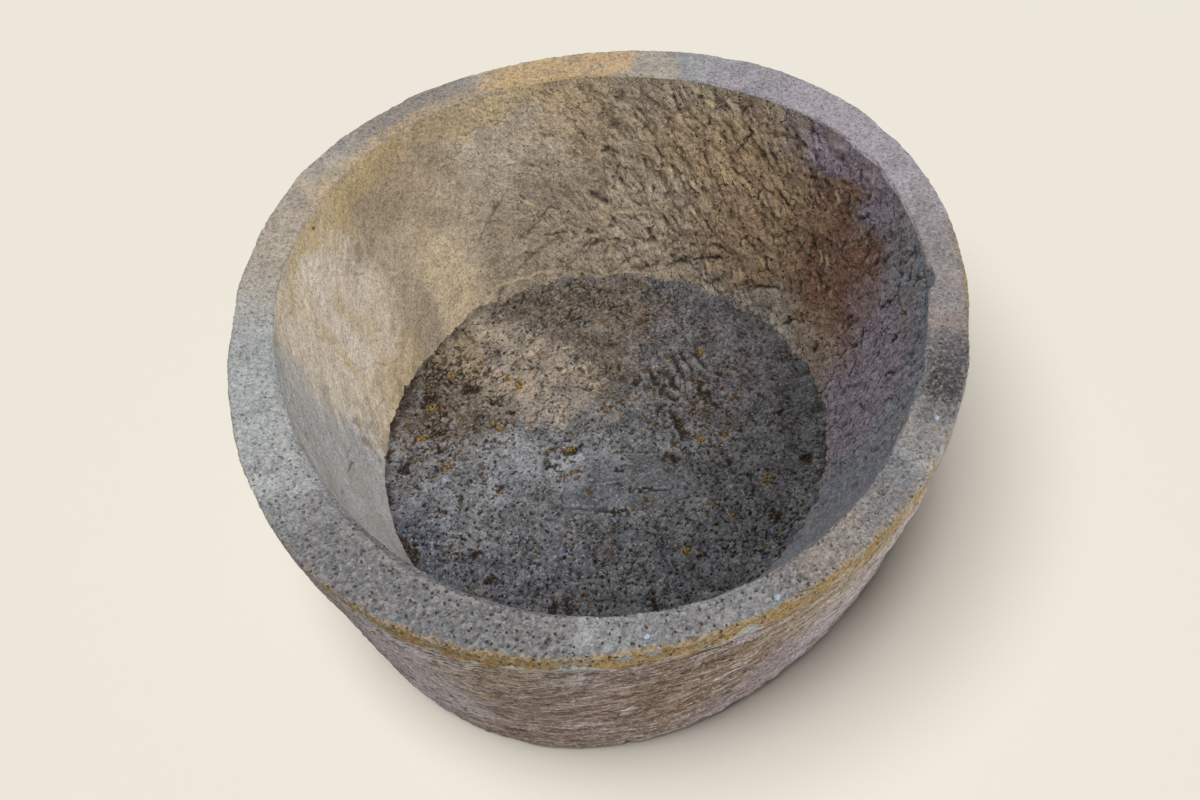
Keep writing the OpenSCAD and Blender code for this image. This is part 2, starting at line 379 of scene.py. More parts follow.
OUTSIDE_ZONES = (
    ("ochre", 275, 46, 0.97, 0.055, 0.35, 0.95),
    ("ochre", 330, 26, 0.98, 0.04, 0.8, 0.45),
    ("cream", 318, 14, 0.88, 0.08, 0.9, 0.8),
    ("brown", 284, 13, 0.5, 0.35, 0.9, 0.8),
    ("pale", 320, 14, 0.55, 0.4, 0.9, 0.4),
    ("pale", 243, 9, 0.65, 0.5, 0.9, 0.7),
    ("lilac", 234, 10, 0.4, 0.6, 0.8, 0.8),
    ("cream", 301, 9, 0.74, 0.17, 0.8, 0.5),
    ("cream", 253, 8, 0.8, 0.12, 0.9, 0.5),
    ("pale", 289, 6, 0.88, 0.03, 0.7, 0.8),
    ("pale", 270, 5, 0.9, 0.015, 0.8, 0.7),
    ("pale", 283, 9, 0.52, 0.03, 0.9, 0.6),
    ("pale", 268, 10, 0.3, 0.03, 0.9, 0.5),
    ("brown", 268, 24, 0.45, 0.3, 0.9, 0.35),
    ("lilac", 300, 14, 0.2, 0.2, 0.9, 0.5),
    ("pale", 190, 26, 0.6, 0.6, 0.9, 0.5),
    ("cream", 130, 30, 0.6, 0.5, 0.9, 0.5),
    ("brown", 95, 24, 0.3, 0.3, 0.9, 0.5),
    ("lilac", 50, 24, 0.6, 0.5, 0.9, 0.6),
    ("ochre", 15, 20, 0.5, 0.3, 0.9, 0.4),
    ("slate", 160, 30, 0.06, 0.1, 0.8, 0.5),
    ("slate", 20, 60, 0.05, 0.08, 0.8, 0.5),
)
# On the bed a zone has its middle and its two half widths in millimetres, and its turn
BED_ZONES = (
    ("cream", -100, 112, 104, 48, -42, 0.7, 0.85),
    ("ochre", -168, 140, 44, 22, -48, 0.9, 0.4),
    ("brown", -165, 45, 72, 85, 0, 0.5, 0.9),
    ("brown", 5, 150, 58, 96, 0, 0.5, 0.95),
    ("brown", -60, 195, 120, 36, 0, 0.8, 0.9),
    ("brown", -30, 130, 40, 60, 0, 0.9, 0.5),
    ("lilac", 135, 130, 90, 92, 0, 0.8, 0.7),
    ("brown", 90, 70, 50, 55, 30, 0.9, 0.45),
    ("pale", -150, -40, 80, 60, 0, 0.9, 0.5),
    ("pale", -55, -10, 55, 40, 0, 0.9, 0.8),
    ("dark", 30, -150, 190, 62, 0, 0.9, 0.35),
    # The dark zone at the left front corner is painted shade where the bed meets the wall
    ("dark", -195, -120, 38, 55, 0, 0.9, 0.95),
    ("dark", 195, 0, 45, 80, 0, 0.9, 0.2),
    ("dark", -120, -150, 70, 45, 0, 0.9, 0.4),
)
STAINS = ("umber", "brown", "slate", "lilac", "pale", "cream", "ochre", "tan")
BED_STAINS = ("brown", "lilac", "dark", "pale", "cream", "ochre", "rust")

WARP_TURN = 2.2
WARP_RISE = 0.06
WARP_MM = 14.0

# Cracks and chisel cuts that stand out in the hollow, painted dark as painted shade in them:
# both ends, each as a direction and a share of the height, then half the width and the depth
HOLLOW_CRACKS = (
    ((61.3, 0.90), (58.0, 0.84), 1.4, 1.5), ((58.0, 0.84), (60.4, 0.72), 1.6, 1.9),
    ((61.2, 0.90), (59.6, 0.95), 1.4, 1.2), ((94.0, 0.75), (92.3, 0.73), 1.8, 1.2),
    ((88.8, 0.65), (86.6, 0.67), 2.0, 1.2), ((86.6, 0.67), (84.8, 0.64), 2.0, 1.2),
    ((84.8, 0.60), (85.6, 0.55), 1.6, 1.2), ((80.4, 0.64), (78.4, 0.63), 1.8, 1.0),
    ((75.5, 0.64), (75.8, 0.54), 1.2, 0.8), ((92.0, 0.46), (87.2, 0.41), 2.9, 1.3),
    ((93.5, 0.28), (89.6, 0.26), 2.0, 1.9), ((103.8, 0.28), (98.6, 0.28), 1.8, 1.4),
    ((89.0, 0.25), (94.0, 0.17), 1.8, 1.2), ((101.2, 0.18), (99.0, 0.14), 1.6, 1.4),
    ((65.0, 0.19), (58.0, 0.235), 2.2, 2.0), ((60.6, 0.295), (57.0, 0.27), 1.8, 1.7),
    ((70.0, 0.15), (64.0, 0.17), 1.6, 1.2), ((121.0, 0.35), (110.0, 0.55), 2.1, 0.8),
    ((108.0, 0.30), (101.0, 0.42), 1.8, 0.8), ((17.5, 0.91), (15.7, 0.86), 1.8, 1.9),
    ((10.5, 0.92), (8.7, 0.845), 2.1, 2.0), ((6.5, 0.94), (6.0, 0.89), 2.2, 1.9),
    ((-4.5, 0.90), (-6.8, 0.835), 2.1, 1.9), ((-11.0, 0.87), (-13.3, 0.80), 2.2, 1.9),
    ((-9.0, 0.86), (-6.2, 0.79), 1.4, 1.5), ((3.0, 0.80), (5.3, 0.74), 1.6, 1.5),
    ((11.8, 0.83), (9.5, 0.75), 1.6, 1.7), ((9.8, 0.75), (12.5, 0.60), 1.8, 1.7),
    ((1.5, 0.735), (3.0, 0.63), 2.0, 2.0), ((5.7, 0.655), (8.0, 0.565), 2.1, 1.9),
    ((-6.0, 0.66), (-3.0, 0.555), 1.8, 1.9), ((-19.0, 0.68), (-16.5, 0.62), 2.0, 1.7),
    ((25.6, 0.79), (25.8, 0.73), 1.8, 1.5), ((28.2, 0.80), (28.8, 0.75), 1.4, 1.2),
    ((20.6, 0.75), (20.2, 0.69), 2.0, 1.5), ((14.2, 0.45), (10.8, 0.40), 2.9, 2.0),
    ((33.5, 0.43), (31.0, 0.385), 2.6, 1.5), ((38.0, 0.55), (36.5, 0.51), 2.0, 1.2),
    ((4.6, 0.55), (3.8, 0.46), 1.8, 1.5), ((9.6, 0.36), (8.8, 0.26), 2.2, 1.9),
    ((-5.0, 0.40), (-3.0, 0.35), 1.8, 1.5), ((-1.0, 0.33), (0.6, 0.28), 1.4, 1.4),
    ((23.2, 0.18), (23.6, 0.14), 2.9, 2.0), ((41.0, 0.235), (49.0, 0.165), 1.6, 1.7),
    ((29.5, 0.195), (33.5, 0.165), 1.4, 1.7), ((33.5, 0.165), (35.6, 0.12), 1.4, 1.5),
    ((48.2, 0.83), (48.6, 0.90), 1.3, 1.0), ((53.8, 0.80), (51.6, 0.74), 2.7, 1.7),
    ((50.0, 0.64), (46.0, 0.60), 2.2, 1.4), ((43.0, 0.84), (42.5, 0.75), 1.3, 1.0),
    ((42.5, 0.75), (40.0, 0.71), 1.4, 1.2), ((41.5, 0.545), (46.5, 0.44), 1.2, 0.8),
    ((157.0, 0.95), (156.0, 0.94), 1.4, 1.6), ((168.0, 0.93), (167.2, 0.92), 1.2, 1.5),
    ((176.0, 0.90), (175.0, 0.86), 1.0, 1.2), ((143.0, 0.88), (142.2, 0.87), 1.3, 1.3),
    ((164.0, 0.30), (160.0, 0.22), 1.1, 1.0), ((153.0, 0.62), (150.0, 0.58), 1.0, 0.9),
    ((199.0, 0.42), (193.0, 0.33), 1.8, 1.4), ((195.5, 0.42), (190.0, 0.35), 1.4, 1.0),
    ((212.0, 0.60), (206.0, 0.56), 1.6, 1.0), ((202.5, 0.86), (200.5, 0.80), 1.3, 0.8),
    ((-27.0, 0.62), (-23.0, 0.52), 2.2, 1.5), ((-20.0, 0.42), (-16.0, 0.36), 2.7, 1.7),
)
# Raised lips of cuts, painted pale as painted highlights
HIGHLIT_LIPS = (
    ((82.2, 0.845), (78.0, 0.76), 1.1, 0.8), ((71.2, 0.90), (69.8, 0.87), 0.9, 0.7),
    ((67.6, 0.89), (66.4, 0.865), 0.9, 0.6), ((70.3, 0.60), (67.3, 0.555), 0.9, 0.8),
    ((75.3, 0.60), (73.6, 0.575), 0.9, 0.7), ((66.0, 0.485), (63.8, 0.455), 1.0, 0.6),
    ((87.2, 0.515), (84.0, 0.465), 0.9, 0.7), ((83.6, 0.41), (80.6, 0.375), 0.9, 0.7),
    ((94.6, 0.91), (93.0, 0.885), 0.9, 0.6), ((72.0, 0.99), (69.4, 0.955), 1.6, 0.8),
    ((62.6, 0.88), (60.0, 0.83), 1.0, 0.6), ((31.6, 0.99), (29.6, 0.93), 1.2, 0.8),
    ((122.0, 0.125), (101.0, 0.115), 1.0, 0.5), ((88.0, 0.36), (75.0, 0.375), 1.2, 0.5),
)


def layered(masks, stain, inside, fade, strength):
    layer = strength * smooth(inside / fade)
    masks[stain] = 1 - (1 - masks[stain]) * (1 - layer)


def stain_masks(zones, a, level, points):
    """How strongly each stain lies at each point, from 0 to 1."""
    wander = lumps(points, 60, 31)
    drift = lumps(points, 45, 32)
    ragged = lumps(points, 14, 33, octaves=3)
    masks = {stain: np.zeros(points.shape[:-1]) for stain in STAINS}
    for stain, middle, span, rise, height, fade, strength in zones:
        across = abs(turn(a + WARP_TURN * wander, middle)) / span
        up = abs(level + WARP_RISE * drift - rise) / height
        inside = 1 + fade / 2 - (across ** 3 + up ** 3) ** (1 / 3) + 0.1 * ragged
        layered(masks, stain, inside, fade, strength)
    return masks


# Patches of rust coloured crumbs on the bed: how thick, the middle and two half widths
RUSTY_PATCHES = ((1, -165, 50, 55, 85), (0.6, -10, 195, 100, 34), (0.7, 85, 60, 45, 80),
                 (0.5, 155, -95, 42, 40), (1, -40, 0, 26, 22))


def rusty(x, y):
    """How thick rust coloured crumbs lie on the bed, from 0 to 1."""
    thick = [share * blot(x, y, *patch) for share, *patch in RUSTY_PATCHES]
    return 0.02 + 0.98 * np.maximum.reduce(thick)


def in_front(y):
    """0 at the back of the bed and 1 at its front."""
    return smooth((60 - y) / 200)


def anywhere(x, y):
    """How thick plain grit lies on the bed, from 0 to 1."""
    return 0.35 + 0.65 * in_front(y)


def bed_masks(points):
    wander = WARP_MM * lumps(points, 60, 41)
    drift = WARP_MM * lumps(points, 60, 42)
    ragged = lumps(points, 12, 43, octaves=3)
    masks = {stain: np.zeros(points.shape[:-1]) for stain in BED_STAINS}
    for stain, x, y, wide, deep, lean, fade, strength in BED_ZONES:
        across, up = leaning(points[..., 0] + wander - x, points[..., 1] + drift - y, lean)
        inside = 1 + fade / 2 - np.hypot(across / wide, up / deep) + 0.15 * ragged
        layered(masks, stain, inside, fade, strength)
    crumbs = lumps(points, 8, 44, octaves=2) + 0.5 * lumps(points, 26, 45, octaves=2)
    masks["rust"] = smooth((crumbs - 1.15 + 0.9 * rusty(points[..., 0], points[..., 1])) / 0.3)
    return masks


def strokes(shape, cell, count, seed, chance, length, width, depth, lean):
    """Depth of chisel strokes over a grid that closes round. cell is the grid's step up and
    to the right, below 0 where its rows or columns run the other way. chance(direction, level)
    is the share that stays, and lean is a slope and its spread in degrees."""
    rng = np.random.RandomState(seed)
    rows, columns = shape
    carved = np.zeros(shape)
    for u, v, luck, grow, broaden, deepen in rng.rand(count, 6):
        slope = lean[0] + lean[1] * rng.randn()
        if luck > chance(360 * u, v):
            continue
        half = length * (0.6 + 0.8 * grow) / 2
        broad = width * (0.7 + 0.6 * broaden)
        row, column = v * rows, u * columns
        reach_up = int((half + broad) / abs(cell[0])) + 1
        reach_across = int((half + broad) / abs(cell[1])) + 1
        r = np.arange(max(0, int(row) - reach_up), min(rows, int(row) + reach_up + 1))
        c = np.arange(int(column) - reach_across, int(column) + reach_across + 1)
        y = ((r - row) * cell[0])[:, None]
        x = ((c - column) * cell[1])[None, :]
        along, across = leaning(x, y, slope)
        # One side of the cut is steep and the other runs out gently
        side = np.where(across > 0, 1 - across / (0.3 * broad), 1 + across / broad)
        ends = np.sqrt(np.clip(1 - (along / half) ** 2, 0, 1))
        cut = depth * (0.4 + 0.9 * deepen) * ends * np.clip(side, 0, 1)
        window = np.ix_(r, c % columns)
        carved[window] = np.maximum(carved[window], cut)
    return carved


def scored(a, level, points, marks):
    """How deep marks are cut at each point of the hollow, with ragged edges."""
    shake_a, shake_z = 1.4 * lumps(points, 8, 26, 2), 1.4 * lumps(points, 8, 27, 2)
    arc, rise = math.radians(HOLLOW_R), BLOCK_H - BASE_T
    cut = np.zeros(points.shape[:-1])
    for start, end, wide, deep in marks:
        x, z = turn(a, start[0]) * arc + shake_a, (level - start[1]) * rise + shake_z
        run = np.array(((end[0] - start[0]) * arc, (end[1] - start[1]) * rise))
        share = np.clip((x * run[0] + z * run[1]) / (run @ run), 0, 1)
        away = np.hypot(x - share * run[0], z - share * run[1])
        width = wide * (0.45 + 0.55 * np.sin(math.pi * share))
        cut = np.maximum(cut, deep * bell(away / width))
    return cut


def linked(name, data):
    """Makes an object from its data, in the scene."""
    made = bpy.data.objects.new(name, data)
    bpy.context.scene.collection.objects.link(made)
    return made


def meshed(name, bm):
    mesh = bpy.data.meshes.new(name)
    bm.to_mesh(mesh)
    bm.free()
    return linked(name, mesh)


def finished(name, bm, values=None, normals=None):
    """Makes the piece from its bmesh, with attributes and normals looked up by each point's
    number. A normal of 0 is left to the mesh."""
    for face in bm.faces:
        face.smooth = True
    piece = meshed(name, bm)
    mesh = piece.data
    if values:
        numbers = np.zeros(len(mesh.vertices), dtype=np.int32)
        mesh.attributes["number"].data.foreach_get("value", numbers)
        for key, field in values.items():
            attribute = mesh.attributes.new(key, "FLOAT", "POINT")
            attribute.data.foreach_set("value", field.ravel()[numbers].astype(np.float32))
        if normals is not None:
            mesh.normals_split_custom_set_from_vertices(normals.reshape(-1, 3)[numbers].tolist())
        mesh.attributes.remove(mesh.attributes["number"])
    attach(piece, "root")
    return piece


def numbered_grid(steps_x, steps_y, closed=False):
    """A grid whose points hold their number. A closed one joins its opposite edges."""
    bm = bmesh.new()
    bmesh.ops.create_grid(bm, x_segments=steps_x, y_segments=steps_y, size=1)
    number = bm.verts.layers.int.new("number")
    wide = steps_x if closed else steps_x + 1
    deep = steps_y if closed else steps_y + 1
    for v in bm.verts:
        row = round((v.co.x + 1) / 2 * steps_x) % wide
        column = round((v.co.y + 1) / 2 * steps_y) % deep
        v[number] = row * deep + column
    return bm, number


def put(bm, number, points):
    """Moves each numbered point to its place, given in millimetres from the rim's centre."""
    places = points.copy()
    places[..., :2] += RIM_CENTRE
    flat = (places * MM).reshape(-1, 3).tolist()
    for v in bm.verts:
        v.co = flat[v[number]]


def ring_piece(name, points, values, sharp_rows, normals=None):
    """A closed ring of stone: each row of points is a loop round the block, and the last
    row joins the first."""
    rows, columns = points.shape[:2]
    bm, number = numbered_grid(rows, columns, closed=True)
    put(bm, number, points)
    bmesh.ops.remove_doubles(bm, verts=bm.verts, dist=MERGE_WITHIN)
    bmesh.ops.recalc_face_normals(bm, faces=bm.faces)
    for edge in bm.edges:
        first, second = (v[number] // columns for v in edge.verts)
        edge.smooth = not (first == second and first in sharp_rows)
    return finished(name, bm, values, normals)


def padded_rows(values, before, after):
    return {key: np.pad(field, ((before, after), (0, 0)), mode="edge")
            for key, field in values.items()}


def weathering(points):
    """Fine unevenness that all the stone shares, so that its pieces meet at their seams."""
    uneven = 0.15 * lumps(points, 9, 1) + 0.3 * lumps(points, 30, 2, octaves=2)
    return np.minimum(uneven - 0.7, -0.05)


def inward_normals(skin):
    """Normals of a skin of closed rows, on the side of the hollow."""
    along = np.roll(skin, -1, axis=1) - np.roll(skin, 1, axis=1)
    across = np.cross(along, np.gradient(skin, axis=0))
    outwards = np.sum(across[..., :2] * skin[..., :2], axis=-1, keepdims=True) > 0
    normals = np.where(outwards, -across, across)
    return normals / np.linalg.norm(normals, axis=-1, keepdims=True)


def scallops(a):
    """How far the mouth's edge is broken back, most of all at the right."""
    ring = around(RIM_R, 0, a)
    return (0.4 + 4.8 * hump(a, 8, 50)) * np.maximum(lumps(ring, 38, 58, octaves=2), -0.15)


def away_from(row, seam, rows=SEAM_ROWS):
    """0 at a seam and 1 a few rows away from it."""
    return smooth(abs(row - seam) / rows)


def make_outer_wall():
    a = directions(COLUMNS)
    t = stepped(0, BAND_FROM, WALL_ROWS)
    row = np.arange(WALL_ROWS + 1)[:, None]
    radius, height = outside_r(a, t), outside_z(a, t)
    points = around(radius, height, a)

    # Strata: the stone splits along flat beds that climb slowly to the right
    sway = 5 * lumps(points, 90, 3, octaves=2) + 1.5 * lumps(points, 24, 8, octaves=2)
    beds = raised(points, sway - 0.12 * points[..., 0])
    layers = flaked(beds, 9, 4, (3, 3, 1))
    thin = broken(beds, 5, 5, (3, 3, 1))
    hollows = lumps(points, 60, 6, octaves=3)
    cell = (BAND_FROM * BLOCK_H / WALL_ROWS, 2 * math.pi * BASE_R / COLUMNS)
    cuts = strokes(radius.shape, cell, 700, 7, lambda a, t: 0.7, length=30, width=2.3,
                   depth=2.0, lean=(6, 5))
    relief = 0.3 * layers + 0.55 * thin + 0.4 * hollows + 0.4 * lumps(points, 5, 9, 2) - cuts - 1
    relief = weathering(points) + away_from(row, WALL_ROWS) * np.minimum(relief, 0.4)
    radius = radius + np.minimum(relief, 0)

    values = surface_values(stain_masks(OUTSIDE_ZONES, a, t, points), relief, 1.0, beds, 1.0)

    # From the drain's bore over the flat base and the rounded foot, up to the seam, and back
    # down inside the stone
    q = stepped(0, 90, FOOT_ROWS)[:-1]
    foot = around(radius[:1] - FOOT_ROUND * (1 - sind(q)), FOOT_ROUND * (1 - cosd(q)), a)
    bore = around(DRAIN_R, 0, a)
    bore[..., :2] += DRAIN_AT
    base = mix(bore, foot[:1], stepped(0, 1, BASE_ROWS)[:-1, :, None])
    bore_top = raised(bore, BASE_T - 1)
    wall = around(radius, height, a)
    inner_top = around(radius[-1:] - BEHIND, height[-1:], a)
    inner_foot = around(radius[:1] - BEHIND, BASE_T - 1, a)
    rows = (bore_top, base, foot, wall, inner_top, inner_foot)
    before = len(bore_top) + len(base) + len(foot)
    return ring_piece("stone_outer_wall", np.concatenate(rows),
                      padded_rows(values, before, 2), {0, 1, before + WALL_ROWS})


def make_hollow():
    """Two pieces, one over the other, so that each may be finely meshed."""
    a = directions(HOLLOW_COLUMNS)
    t = stepped(1, 0, HOLLOW_ROWS)
    row = np.arange(HOLLOW_ROWS + 1)[:, None]
    radius, height = inside_r(a, t), inside_z(a, t)
    points = around(radius, height, a)
    shape = radius.shape
    cell = (-(BLOCK_H - BASE_T) / HOLLOW_ROWS, -2 * math.pi * HOLLOW_R / HOLLOW_COLUMNS)

    # Seen from within, the back is broken along lines that fall to the right and, low down,
    # along ledges that rise to the right. The chisel's strokes fall to the right, steeply at
    # the right side, and the left side was dressed smooth
    worked = raised(points, -0.5 * HOLLOW_R * sind(2 * (a - 75)))
    rising = raised(points, 0.45 * HOLLOW_R * sind(a - 75))
    upright = around(radius, height / 3, a + 0.07 * (height - BED_Z))
    low = hump(a, 80, 70) * smooth((0.45 - t) / 0.25)
    back = hump(a, 66, 75) * (1 - low)
    right = hump(a, 345, 70)
    left = hump(a, 165, 70)

    def at_back(a, level):
        return float(hump(a, 62, 60)) * min(1.0, 0.4 + level)

    def at_right(a, level):
        return float(hump(a, 345, 60))

    def at_left(a, level):
        return float(hump(a, 180, 80))

    # Each kind has its count, seed, place, length, width, depth, and slope with its spread
    slanted = strokes(shape, cell, 1300, 11, at_back, 16, 3.8, 1.9, (-46, 24))
    gouges = strokes(shape, cell, 1800, 12, at_right, 19, 4.8, 2.6, (-70, 18))
    hatching = strokes(shape, cell, 900, 14, at_left, 42, 4, 0.6, (-42, 12))
    highlit_strokes = strokes(shape, cell, 420, 13, at_back, 12, 3.4, 1.0, (-46, 10))
    cracks = scored(a, t, points, HOLLOW_CRACKS)
    lips = np.maximum(scored(a, t, points, HIGHLIT_LIPS), 0.8 * highlit_strokes)
    cuts = np.maximum.reduce((slanted, gouges, hatching, cracks))
    roughness = 0.2 + 0.8 * hump(a, 35, 125)
    rings = hump(a, WORN_DIR, WORN_SPAN) * smooth((t - 0.72) / 0.15)
    grooves = 0.7 * rings * np.cos(2 * math.pi * (1 - t) * BLOCK_H / 11 + lumps(points, 60, 17))
    relief = (0.8 * lumps(points, 60, 15, octaves=2)
              + 0.55 * back * flaked(worked, 22, 16, (1.1, 1.1, 1))
              + 0.5 * back * lumps(points, 14, 24, 3)
              + 0.85 * low * flaked(rising, 20, 18, (1.5, 1.5, 1))
              + 0.5 * left * lumps(worked, 16, 25, 2, stretch=(3, 3, 1))
              + 1.2 * right * lumps(upright, 12, 19, 3)
              + 0.6 * roughness * lumps(points, 6, 20, 3) + grooves + lips - cuts)
    relief = weathering(points) + away_from(row, 0, 10) * np.clip(relief, -5, 1.8)
    radius = radius - relief + scallops(a) * smooth((t - 0.88) / 0.12)

    values = surface_values(stain_masks(HOLLOW_ZONES, a, t, points), relief, 1.4, worked,
                            roughness)
    # The cracks get painted shade
    values["painted_shade"] = np.clip(cracks / 2.0, 0, 0.8)
    # The raised lips of cuts get painted highlights
    values["lip"] = np.clip(lips / 0.5, 0, 1)
    skin = around(radius, height, a)
    facing = inward_normals(skin)
    hidden = np.zeros((2,) + facing.shape[1:])
    half = HOLLOW_ROWS // 2
    made = []
    for name, rows in (("stone_hollow_upper", slice(0, half + 1)),
                       ("stone_hollow_lower", slice(half, HOLLOW_ROWS + 1))):
        back_low = around(radius[rows][-1:] + BEHIND, height[rows][-1:], a)
        back_top = around(radius[rows][:1] + BEHIND, height[rows][:1], a)
        here = {key: field[rows] for key, field in values.items()}
        made.append(ring_piece(name, np.concatenate((skin[rows], back_low, back_top)),
                               padded_rows(here, 0, 2), {0, half},
                               np.concatenate((facing[rows], hidden))))
    return made


# Marks in the rim's face: direction, radius, how wide and how deep
RIM_MARKS = ((192.8, 323, 2.6, 2.2), (148.2, 323.5, 2.6, 1.8), (220, 339, 3.4, 1.6),
             (219, 333, 2.4, 1.0), (339, 322, 4.5, 1.6), (320, 321, 5.0, 1.4),
             (262, 326, 2.8, 1.2), (240, 321, 3.0, 1.4), (8, 330, 3.2, 1.2))

# The place across the face is 0 at the mouth and 1 outside. Down the side it goes on from
# here, by so much for the whole height
SIDE_FROM = 1.05
SIDE_SCALE = 7


def make_rim():
    a = directions(2 * COLUMNS)
    t = stepped(BAND_FROM, 1, BAND_ROWS)
    q = stepped(0, 90, ARRIS_ROWS)[1:]
    share = stepped(1, 0, FACE_ROWS)[1:]
    q_in = stepped(0, 90, MOUTH_ROWS)[1:]
    edge_r = outside_r(a, 1.0)
    face_from, face_to = mouth_r(a) + arris_in(a), edge_r - OUTER_ARRIS
    radius = np.concatenate((outside_r(a, t), edge_r - OUTER_ARRIS * (1 - cosd(q)),
                             mix(face_from, face_to, share),
                             mouth_r(a) + arris_in(a) * (1 - sind(q_in))))
    height = np.concatenate((outside_z(a, t), rim_z(a) - OUTER_ARRIS * (1 - sind(q)),
                             rim_z(a) + 0 * share, rim_z(a) - arris_in(a) * (1 - cosd(q_in))))
    outwards = np.concatenate((1 + 0 * t, cosd(q), 0 * share, -sind(q_in)))
    upwards = np.concatenate((0 * t, sind(q), 1 + 0 * share, cosd(q_in)))
    level = np.concatenate((SIDE_FROM + (1 - t) * SIDE_SCALE, 1 + 0.05 * cosd(q), share,
                            -0.25 * sind(q_in)))
    last = len(radius) - 1
    row = np.arange(len(radius))[:, None]
    points = around(radius, height, a)

    fade = away_from(row, 0) * away_from(row, last)
    coarse = 0.35 + 0.65 * hump(a, 264, 85) + 0.5 * hump(a, 343, 14)
    undulation = 0.7 * lumps(points, 60, 51, octaves=2)
    grain = coarse * (0.6 * lumps(points, 5, 52, octaves=3) - 0.3)
    holes = np.clip(0.35 - cells(points, 8, 53), 0, 1) * 9 * coarse
    fine_holes = np.clip(0.33 - cells(points, 4.2, 54), 0, 1) * 6 * coarse
    rings = hump(a, WORN_DIR, WORN_SPAN) * smooth((0.15 - level) / 0.2)
    ripples = 0.8 * rings * np.cos(2 * math.pi * (rim_z(a) - height) / 9 + lumps(points, 60, 17))
    relief = undulation + grain - holes - fine_holes + ripples - 0.6
    for direction, place, wide, deep in RIM_MARKS:
        off = np.hypot(points[..., 0] - place * cosd(direction),
                       points[..., 1] - place * sind(direction))
        relief = relief - deep * bell(off / wide)
    relief = weathering(points) + fade * np.clip(relief, -4, 0.3)

    # Both edges wander and are chipped here and there
    outer_row, inner_row = BAND_ROWS + ARRIS_ROWS / 2, last - MOUTH_ROWS / 2
    near_outer = bell((row - outer_row) / EDGE_ROWS) * fade
    near_inner = bell(np.maximum(inner_row - row, 0) / EDGE_ROWS)
    ring = around(RIM_R, 0, a) + np.zeros_like(points)
    chips = smooth((lumps(ring, 26, 55) - 0.55) / 0.5)
    chips_in = smooth((lumps(ring, 22, 56) - 0.5) / 0.5) * fade
    wander_out = 0.3 + 0.5 * lumps(ring, 70, 57, octaves=3) + 1.0 * chips
    wander_in = scallops(a) + 1.2 * chips_in
    radius = radius + outwards * relief - near_outer * np.maximum(wander_out, 0)
    radius = radius + near_inner * wander_in
    height = height + upwards * relief

    face = stain_masks(FACE_ZONES, a, level, points)
    t_here = 1 - np.clip(level - SIDE_FROM, 0, 1) / SIDE_SCALE
    side = stain_masks(OUTSIDE_ZONES, a, t_here, points)
    on_side = smooth((level - 1) / 0.08)
    masks = {stain: mix(face[stain], side[stain], on_side) for stain in STAINS}
    values = surface_values(masks, relief, 0.8, points, coarse)
    # A pale painted highlight runs along the mouth's edge
    edge_highlight = (0.35 + 0.65 * hump(a, 260, 90)) * bell((level + 0.04) / 0.06)
    edge_highlight = edge_highlight * smooth(0.7 + lumps(ring, 30, 59, octaves=3))
    values["relief"] = np.maximum(values["relief"], edge_highlight)

    skin = around(radius, height, a)
    for seam in (0, last):
        even = skin[seam, 0::2]
        skin[seam, 1::2] = (even + np.roll(even, -1, axis=0)) / 2
    inner_back = around(radius[-1:] + BEHIND, height[-1:], a)
    outer_back = around(radius[:1] - BEHIND, height[:1], a)
    return ring_piece("stone_rim", np.concatenate((skin, inner_back, outer_back)),
                      padded_rows(values, 0, 2), {0, last})


def disc(steps_x, steps_y):
    """Numbered grid, and for each point its direction and its share of the way out."""
    bm, number = numbered_grid(steps_x, steps_y)
    u, v = stepped(-1, 1, steps_x), stepped(-1, 1, steps_y).T
    x, y = u * np.sqrt(1 - v * v / 2), v * np.sqrt(1 - u * u / 2)
    return bm, number, np.degrees(np.arctan2(y, x)), np.hypot(x, y)


def closed_below(bm, number, points, bottom):
    """Places the disc's points, and closes it with a wall down to a flat bottom."""
    put(bm, number, points)
    border = [edge for edge in bm.edges if edge.is_boundary]
    made = bmesh.ops.extrude_edge_only(bm, edges=border)["geom"]
    for v in made:
        if isinstance(v, bmesh.types.BMVert):
            v.co.z = bottom * MM
    low = [edge for edge in made if isinstance(edge, bmesh.types.BMEdge) and edge.is_boundary]
    bmesh.ops.holes_fill(bm, edges=low, sides=0)
    bmesh.ops.recalc_face_normals(bm, faces=bm.faces)


# Trowel arcs: middle, radius, direction and half its span, and depth
TROWEL_ARCS = ((148, 128, 88, 215, 42, 2.4), (148, 128, 74, 222, 38, 2.2),
               (148, 128, 60, 218, 44, 2.0), (148, 128, 102, 212, 30, 1.6),
               (148, 128, 44, 220, 60, 1.6), (-18, -30, 44, 185, 50, 1.6),
               (-18, -30, 36, 180, 46, 1.4))
# Tool lines: start, end, half width and depth
TOOL_LINES = (((-26, -13), (56, -13), 1.4, 1.4), ((-18, -51), (22, -54), 1.4, 1.2),
              ((18, -66), (72, -61), 1.4, 1.4), ((-50, -78), (28, -88), 1.8, 1.0),
              ((-52, -84), (-98, -172), 2.2, 0.8), ((-72, -86), (-76, -170), 2.0, 0.8),
              ((-14, -96), (-10, -160), 2.4, 0.8), ((-100, 108), (-78, 128), 1.6, 1.0),
              ((118, -62), (148, -60), 1.8, 1.2), ((-95, -185), (-45, -190), 2.2, 1.4))
